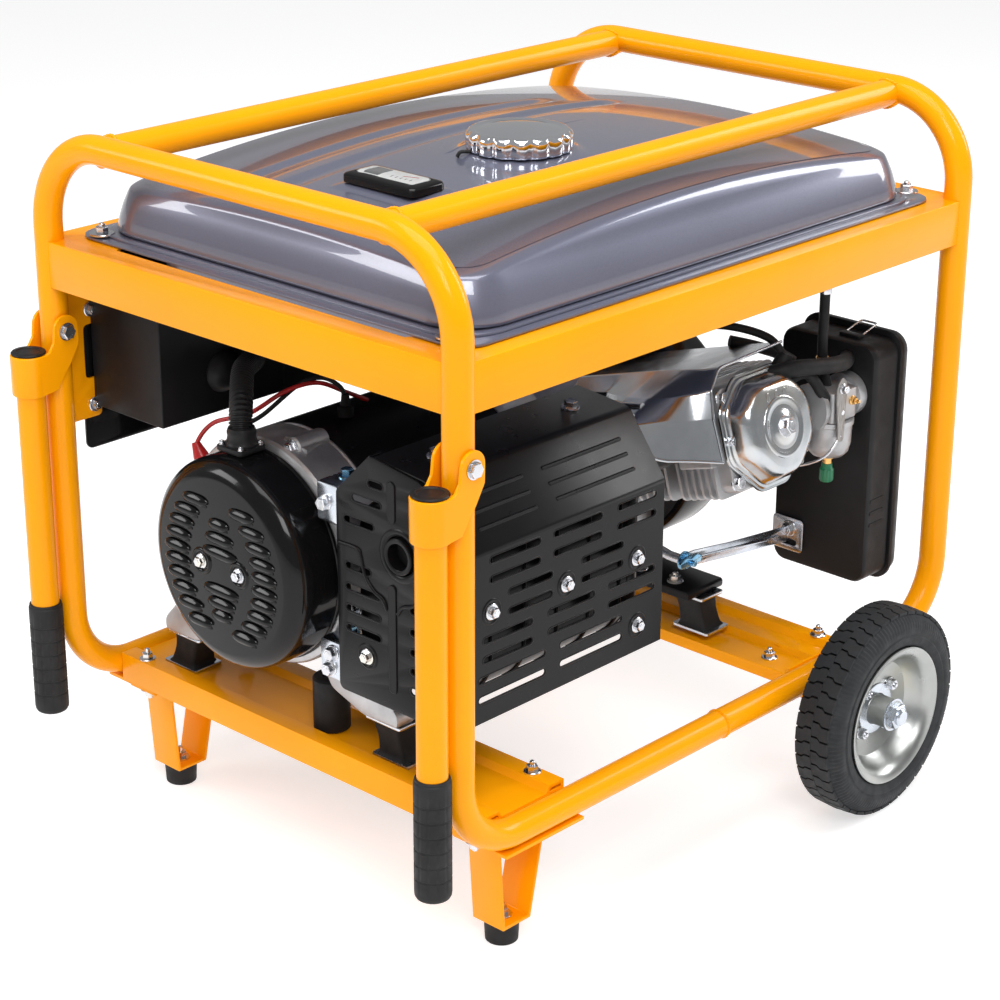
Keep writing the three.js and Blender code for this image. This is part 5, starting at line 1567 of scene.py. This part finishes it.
def make_hoses():
    x, y = 209, -190
    fuel = curved([(x, y, 489), (x, y, 450), (x, y, 415), (210, -192, 396), (212, -195, 380)], 16)
    tube("fuel_hose", fuel, 4.8, RUBBER, 24)
    for k, z in enumerate((404, 470)):
        bm = bmesh.new()
        add_lathe(bm, [(4.6, 0), (5.7, 0), (5.9, 0.8), (5.9, 4.6), (5.7, 5.4), (4.6, 5.4)], (x, y - 0.4, z), "z", 32)
        skin(bm, f"fuel_hose_clip_{k}", BRASS if k == 0 else ZINC)
    start = on_cylinder(22, 44, 244)
    breather = curved([start, (158, -196, 411), (190, -206, 408), (222, -204, 403), (248.5, -190, 398)], 16)
    tube("breather_hose", breather, 7.6, RUBBER)
    second = curved([on_cylinder(40, 30, 240), (176, -196, 402), (186, -208, 384), (196, -206, 374)], 14)
    tube("vacuum_hose", second, 5.2, RUBBER, 24)


def make_air_box():
    low, high = span("air_box")
    x0, x1 = low.x, high.x
    rings = []
    for inset, x in ((5, x0 + 0.2), (1.6, x0 + 1), (0.3, x0 + 3.6), (0.1, x0 + 8), (0.1, x1 - 4.4), (0, x1 - 4),
                     (0, x1 - 0.2)):
        outline = rounded(low.y + inset, high.y - inset, low.z + inset, high.z - inset, 14 - inset * 0.6, 6)
        rings.append([(x, u, v) for u, v in outline])
    loft("air_box_shell", rings, PLASTIC, replaced=["air_box"])
    low, high = span("air_box_lid")
    x0, x1 = low.x, high.x
    rings = []
    for inset, x in ((0.8, x0 + 0.2), (0, x0 + 0.8), (0, x0 + 4.4), (0.8, x0 + 5), (1.6, x0 + 5.4), (2, x0 + 9),
                     (3.4, x1 - 7), (6.5, x1 - 3), (11, x1 - 0.8), (15, x1 - 0.2), (22, x1 - 0.2), (24, x1 - 1.6)):
        outline = rounded(low.y + inset, high.y - inset, low.z + inset, high.z - inset, max(6, 18 - inset * 0.4), 7)
        rings.append([(x, u, v) for u, v in outline])
    loft("air_lid_shell", rings, PLASTIC, 32, ["air_box_lid"])
    ribs = bmesh.new()
    for k in range(4):
        z = low.z + 56 + 38 * k
        add_plate(ribs, slot(low.y + 34, high.y - 34, z, 2.4, 5), x1 - 2, x1 - 0.3, "yz", edge=0.6)
    piece(ribs, "air_lid_ribs", PLASTIC, 40)
    box_low, box_high = span("air_box")
    for k, (z, way) in enumerate(((box_high.z, 1), (box_low.z, -1))):
        y = (low.y + high.y) / 2 - 14
        inner, outer = z + way, z + way * 7.4
        path = bent([(box_low.x + 18, y - 9, inner), (box_low.x + 18, y + 9, inner), (x0 + 8, y + 9, outer),
                     (x0 + 8, y - 9, outer), (box_low.x + 20, y - 9, inner)], (3, 3, 3), 6)
        tube(f"air_box_clip_{k}", path, 1.0, ZINC, 12)
        knuckle = rounded(box_low.x + 13, box_low.x + 22, y - 12, y + 12, 2.5, 4)
        ends = sorted((z - way * 0.5, z + way * 3))
        plate(f"air_box_clip_knuckle_{k}", knuckle, ends[0], ends[1], "xy", PLASTIC, 0.6)
    keep("air_filter", FOAM)
    # Flat black slots on the box's side: painted shade where the vent openings are.
    vent_shades = bmesh.new()
    for k in range(3):
        z = box_low.z + 60 + 12 * k
        add_plate(vent_shades, slot(box_low.x + 8, box_low.x + 26, z, 2.2, 4), box_low.y - 0.4, box_low.y + 0.8, "xz",
                  edge=0.3)
    piece(vent_shades, "air_box_vent_shade", RUBBER, 40)


def make_bracket():
    x1 = span("air_box_bracket")[1].x
    outline = rounded(-152, -116, 190, 224, 4, 4)
    holes = [slot(-142, -130, 199, 3.2, 4)]
    plate("bracket_plate", outline, x1 - 2.5, x1, "yz", PLATED, holes=holes, replaced=["air_box_bracket"])
    bolt("bracket_bolt", (x1 - 2.5, -136, 213), (-1, 0, 0), 11)
    arm = fillet([(84, 221), (96, 220), (150, 212), (x1 - 1, 200), (x1 - 1, 216), (150, 227), (96, 235), (84, 235)],
                 3, 3)
    plate("bracket_arm", arm, -137.4, -135.6, "xz", PLATED, 0.6)
    rib = slot(108, 226, 0, 1.6, 4)
    lean = Matrix.Translation((0, -137.6, 239.6)) @ Matrix.Rotation(math.radians(7.4), 4, "Y") @ PLANES["xz"]
    plate("bracket_arm_rib", rib, -0.8, 0.6, "xz", PLATED, 0.5, matrix=lean)
    bolt("wing_bolt", (82, -136.4, 229), (0, -1, 0), 11, 9, 7, BLUED)
    wing = [(68, 226), (96, 226), (98, 232), (90, 236), (82, 233), (74, 236), (66, 232)]
    plate("wing_nut", fillet(wing, 2.5, 4), -146, -142.6, "xz", BLUED, 0.9)
    stay = [Vector((82, -134, 229)), Vector((82, -120, 229)), Vector((84, -60, 240)), Vector((86, -34, 244))]
    tube("bracket_stay", stay, 4.6, PLATED, 20)


make_carburettor()
make_hoses()
make_air_box()
make_bracket()

# ------------------------------------------------------------------ muffler and its guards


OUTLET_Y, OUTLET_Z = -146, 350


def make_muffler():
    rings = []
    for inset, x in ((10, -283.8), (4, -282.6), (1, -280), (0, -276), (0, -270), (-0.9, -269.4), (-0.9, -266.6),
                     (0, -266), (0, -80), (-0.9, -79.4), (-0.9, -76.6), (0, -76), (0, -70), (1, -66), (4, -63.4),
                     (10, -62.2)):
        outline = rounded(-204 + inset, -83 - inset, 227 + inset, 387 - inset, max(8, 36 - inset), 8)
        rings.append([(x, u, v) for u, v in outline])
    loft("muffler_can", rings, SATIN, 40, ["muffler"])
    seam = bmesh.new()
    for k in range(5):
        x = -250 + 40 * k
        outline = rounded(-204.6, -82.4, 226.4, 387.6, 36, 8)
        ring = [Vector((x, u, v)) for u, v in outline]
        add_tube(seam, ring, 1.4, 8, closed=True)
    piece(seam, "muffler_swages", SATIN, 60)
    outlet = [(11.5, -268), (11.5, -297.4), (12.4, -298), (14.6, -298), (15.6, -297.2), (15.6, -280)]
    lathe("muffler_outlet", [(r, x) for r, x in outlet], (0, OUTLET_Y, OUTLET_Z), "x", SATIN, 64)
    # A black disc inside the outlet pipe: painted shade deep in the bore.
    plate("muffler_bore_shade", arc(OUTLET_Y, OUTLET_Z, 11.6, 0, 350, 35), -286, -285, "yz", RUBBER, 0.2)
    pipe = [(0, -66), (16.5, -66), (17.5, -64), (13, -62), (13, 49.6), (0, 49.6)]
    lathe("muffler_inlet", [(r, x) for r, x in pipe], (0, -150, 352), "x", SATIN, 48)


END_ROWS = (234, 252, 269, 287, 306)


def make_end_guard():
    x = span("muffler_end_guard")[0].x
    corners = [(-72, 209), (-72, 388), (-112, 428), (-172, 419), (-212, 364), (-212, 209)]
    outline = fillet(corners[::-1], 7, 5)
    holes = [arc(OUTLET_Y, OUTLET_Z, 17, 0, 345, 47)]
    for z in END_ROWS:
        holes.append(slot(-202, -160, z, 3.5))
        if z > 260:
            holes.append(slot(-120, -85, z, 3.5))
    for low, high, z in ((-109, -85, 325), (-113, -84, 366), (-122, -94, 387), (-124, -113, 404)):
        holes.append(slot(low, high, z, 3.5))
        if z > 380:
            holes.append(slot(-184 + (z - 387) * 0.7, -160, z, 3.5))
    plate("end_guard_sheet", outline, x + 0.2, x + 1.7, "yz", SATIN, 0.6, holes, ["muffler_end_guard"])
    slot_rims("end_guard_rims", holes[1:], x + 0.7, "yz")
    rim = [(-72, 224), (-72, 388), (-112, 428)]
    path = bent([(0, *p) for p in rim], (7,), 8)
    bm = bmesh.new()
    ring = [(p[1], p[2]) for p in path]
    inner = []
    for i, (u, v) in enumerate(ring):
        a, b = Vector(ring[max(i - 1, 0)]), Vector(ring[min(i + 1, len(ring) - 1)])
        normal = (b - a).normalized()
        inner.append((u - normal.y * 1.6, v + normal.x * 1.6))
    add_plate(bm, ring + inner[::-1], x + 0.4, x + 14, "yz", edge=0.3)
    piece(bm, "end_guard_flange", SATIN, 40)
    collar = [(17, 0.6), (18, -0.9), (20.4, -1.5), (22.6, -1.1), (24, 0.4)]
    lathe("end_guard_collar", [(r, x + h + 0.6) for r, h in collar], (0, OUTLET_Y, OUTLET_Z), "x", SATIN, degrees=60)
    ribs = bmesh.new()
    for z0, z1 in ((376, 412), (225, 322)):
        add_plate(ribs, rounded(-141.5, -132.5, z0, z1, 4.2, 6), x - 0.9, x + 0.6, "yz", edge=0.6)
    piece(ribs, "end_guard_ribs", SATIN, 50)
    crease = ((0, 343), (24, 343), (29, 338), (32, 328), (38, 318), (48, 310), (59, 306), (65, 298))
    for k, (edge, way) in enumerate(((-208, 1), (-76, -0.85))):
        path = curved([(x + 0.1, edge + way * u, v) for u, v in crease], 6)
        tube(f"end_guard_crease_{k}", path, 1.7, SATIN, 14)
    add_dimpled_bolt("end_guard_bolt", (x + 0.1, -107, 249), (-1, 0, 0))


def add_dimpled_bolt(name, centre, axis):
    ring = [(12, -0.4), (11.4, 0.4), (10.2, 0.9), (9, 0.5), (8.2, -0.5)]
    lathe(name + "_dimple", ring, centre, axis, SATIN, 64, 60)
    bolt(name, centre, axis, 8, 7)


def slot_rims(name, outlines, at, plane):
    """Rolled edges round the slots of a pressed sheet."""
    bm = bmesh.new()
    for outline in outlines:
        line = [PLANES[plane] @ Vector((u, v, at)) for u, v in outline]
        add_tube(bm, line, 0.95, 8, closed=True)
    piece(bm, name, SATIN, 60)


SIDE_ROWS = (((-273, -199), (-175, -102)), ((-268, -215), (-190, -138), (-114, -60)), ((-238, -191), (-149, -102)),
             ((-260, -206), (-184, -130), (-104, -60)))


def make_side_guard():
    low, high = span("muffler_side_guard")
    left, right = low.x, high.x
    y = low.y
    holes = []
    for pair, spans in enumerate(SIDE_ROWS):
        for row in (2 * pair, 2 * pair + 1):
            holes += [slot(start, end, 237 + 17.1 * row, 3.5) for start, end in spans]
    slot_rims("side_guard_rims", holes, y + 0.7, "xz")
    outline = [(left, low.z), (right, low.z), (right, 364), (left, 364)]
    bm = bmesh.new()
    add_plate(bm, outline, y + 0.1, y + 1.6, "xz", holes, 0.6)
    profile = bent([(0, y + 0.9, 362), (0, y + 0.9, 366), (0, -174, 421), (0, -115, 426.4)], (5, 9), 6)
    steps = [(p.y, p.z) for p in profile]
    thick = []
    for i, (u, v) in enumerate(steps):
        a, b = Vector(steps[max(i - 1, 0)]), Vector(steps[min(i + 1, len(steps) - 1)])
        normal = (b - a).normalized()
        thick.append(((u + normal.y * 0.7, v - normal.x * 0.7), (u - normal.y * 0.7, v + normal.x * 0.7)))
    section = [a for a, _ in thick] + [b for _, b in reversed(thick)]
    add_plate(bm, section, left, right, "yz", edge=0.2)
    piece(bm, "side_guard_sheet", SATIN, 40, ["muffler_side_guard"])
    slope = (Vector((0, -174, 421)) - Vector((0, y, 364))).normalized()
    out = Vector((0, -slope.z, slope.y))
    basis = Matrix((Vector((1, 0, 0)), slope, out)).transposed().to_4x4()
    place = Matrix.Translation(Vector((0, y, 364)) + out * 0.4) @ basis
    ribs = bmesh.new()
    for x0, x1 in ((left + 30, left + 96), (left + 122, left + 218)):
        for v in (20, 34, 48):
            add_plate(ribs, slot(x0, x1, v, 2.0, 5), -1.2, 1.5, edge=1.2, matrix=place)
    piece(ribs, "side_guard_ribs", SATIN, 60)
    for k, (x, z) in enumerate(((-261, 312), (-171, 308), (-81, 304), (-79, 241))):
        add_dimpled_bolt(f"side_guard_bolt_{k}", (x, y + 0.3, z), (0, -1, 0))
    for k, x in enumerate((left + 40, right - 44)):
        bolt(f"side_guard_top_bolt_{k}", (x, -146, 424.6), (0, -0.1, 1))


make_muffler()
make_end_guard()
make_side_guard()

# ------------------------------------------------------------------ control panel


def make_control_box():
    refined("control_box", PLASTIC, 2.2, 3, degrees=40)
    low, high = span("control_box")
    grommet = [(0, 0), (18, 0), (19, 1.5), (18.6, 3.4), (17.4, 4.4), (16.4, 7), (13.5, 11), (9, 14), (4, 15.4),
               (0, 15.6)]
    lathe("box_grommet", grommet, (-222, low.y + 0.3, 421), (0, -1, 0), PLASTIC, 48, 40)
    for k, x in enumerate((-150, -60, 40)):
        rib = rounded(x - 1.5, x + 1.5, low.z + 8, high.z - 8, 1, 3)
        plate(f"box_rib_{k}", rib, low.y - 0.2, low.y + 1.4, "xz", PLASTIC, 0.5)


SOCKET_Z = 425
METER = Vector((-180, 450))


def make_panel_face():
    low, high = span("control_panel")
    y0 = low.y
    front = y0 + 3
    outline = rounded(low.x, high.x, low.z, high.z, 7, 6)
    plate("panel_plate", outline, y0 + 0.1, front, "xz", GLOSS, 0.8, replaced=["control_panel"])
    top = min(high.z, span("tank_ring")[0].z) - 4
    frame_outline = rounded(low.x + 16, high.x - 16, low.z + 14, top - 10, 6, 5)
    inner = rounded(low.x + 18.5, high.x - 18.5, low.z + 16.5, top - 12.5, 4, 5)
    plate("panel_border", frame_outline, front - 0.2, front + 0.8, "xz", SATIN, 0.3, [inner[::-1]])
    for k, x in enumerate((-60, 30)):
        collar = [(20.2, 1), (20.2, 8), (21.4, 9), (24.4, 9), (25.8, 7.6), (25.8, 0), (27.5, -0.4)]
        lathe(f"socket_collar_{k}", collar, (x, front, SOCKET_Z), (0, 1, 0), PLASTIC)
        well = [(0, 0.6), (20.2, 0.6), (20.2, 8)]
        lathe(f"socket_well_{k}", well, (x, front, SOCKET_Z), (0, 1, 0), PALE, 64)
        # Three black slots on the pale socket face: painted shade in the contact holes.
        hole_shades = bmesh.new()
        for a in range(3):
            angle = math.radians(90 + 120 * a)
            u, v = x + 9 * math.cos(angle), SOCKET_Z + 9 * math.sin(angle)
            add_plate(hole_shades, slot(u - 2, u + 2, v, 1.3, 3), front + 0.5, front + 1.3, "xz", edge=0.15)
        piece(hole_shades, f"socket_hole_shade_{k}", RUBBER)
    bezel = rounded(-204.6, -155.4, 440.4, 479.6, 3, 4)
    window = rounded(-199, -161, 446, 474, 2, 4)
    plate("meter_bezel", bezel, front - 0.4, front + 5.8, "xz", PLASTIC, 0.9, [window[::-1]])
    plate("meter_dial", rounded(-199.5, -160.5, 445.5, 474.5, 1, 2), front + 0.4, front + 2.2, "xz", PALE, 0.2)
    ticks = bmesh.new()
    for k in range(9):
        angle = math.radians(145 - 110 * k / 8)
        direction = Vector((math.cos(angle), math.sin(angle)))
        across = Vector((-direction.y, direction.x)) * 0.45
        a, b = METER + direction * 16, METER + direction * (19.5 if k % 2 == 0 else 18)
        add_plate(ticks, [tuple(a - across), tuple(b - across), tuple(b + across), tuple(a + across)], front + 2.1,
                  front + 2.5, "xz", edge=0.1)
    needle_end = METER + Vector((-6, 17))
    needle = [(-180.6, 450), (-179.4, 450), (needle_end.x + 0.3, needle_end.y), (needle_end.x - 0.3, needle_end.y)]
    add_plate(ticks, needle, front + 2.4, front + 2.9, "xz", edge=0.1)
    piece(ticks, "meter_marks", RUBBER)
    top = min(high.z, span("tank_ring")[0].z) - 8
    left, right, bottom = low.x + 8, high.x - 8, low.z + 8
    for k, (x, z) in enumerate(((left, bottom), (left, top), (right, bottom), (right, top))):
        bolt(f"panel_screw_{k}", (x, front - 0.3, z), (0, 1, 0), 6, 4.6)
    refined("socket_lid_1", PLASTIC, 1.6, 3, degrees=35)
    refined("socket_lid_2", PLASTIC, 1.6, 3, degrees=35)
    refined("engine_switch", PLASTIC, 1.2, 3, degrees=35)
    refined("breaker_toggle", PLASTIC, 1.0, 2, degrees=35)
    ring = [(12.6, -0.2), (17, -0.2), (17, 1), (16, 1.8), (13.6, 1.8), (12.6, 1)]
    lathe("switch_ring", ring, (-245, front, SOCKET_Z), (0, 1, 0), ZINC, 72)
    guard = rounded(-139, -111, 405, 445, 3, 4)
    hole = rounded(-134, -116, 417, 433, 1.5, 3)
    plate("breaker_bezel", guard, front - 0.3, front + 2.6, "xz", SATIN, 0.6, [hole[::-1]])
    lamp = [(0, 5), (3, 4.4), (4.6, 2.8), (5, 1), (6.6, 0.8), (6.6, -0.3), (0, -0.3)]
    lathe("panel_lamp", lamp, (-245, front, 480), (0, 1, 0), RED, 40, 40)


make_control_box()
make_panel_face()
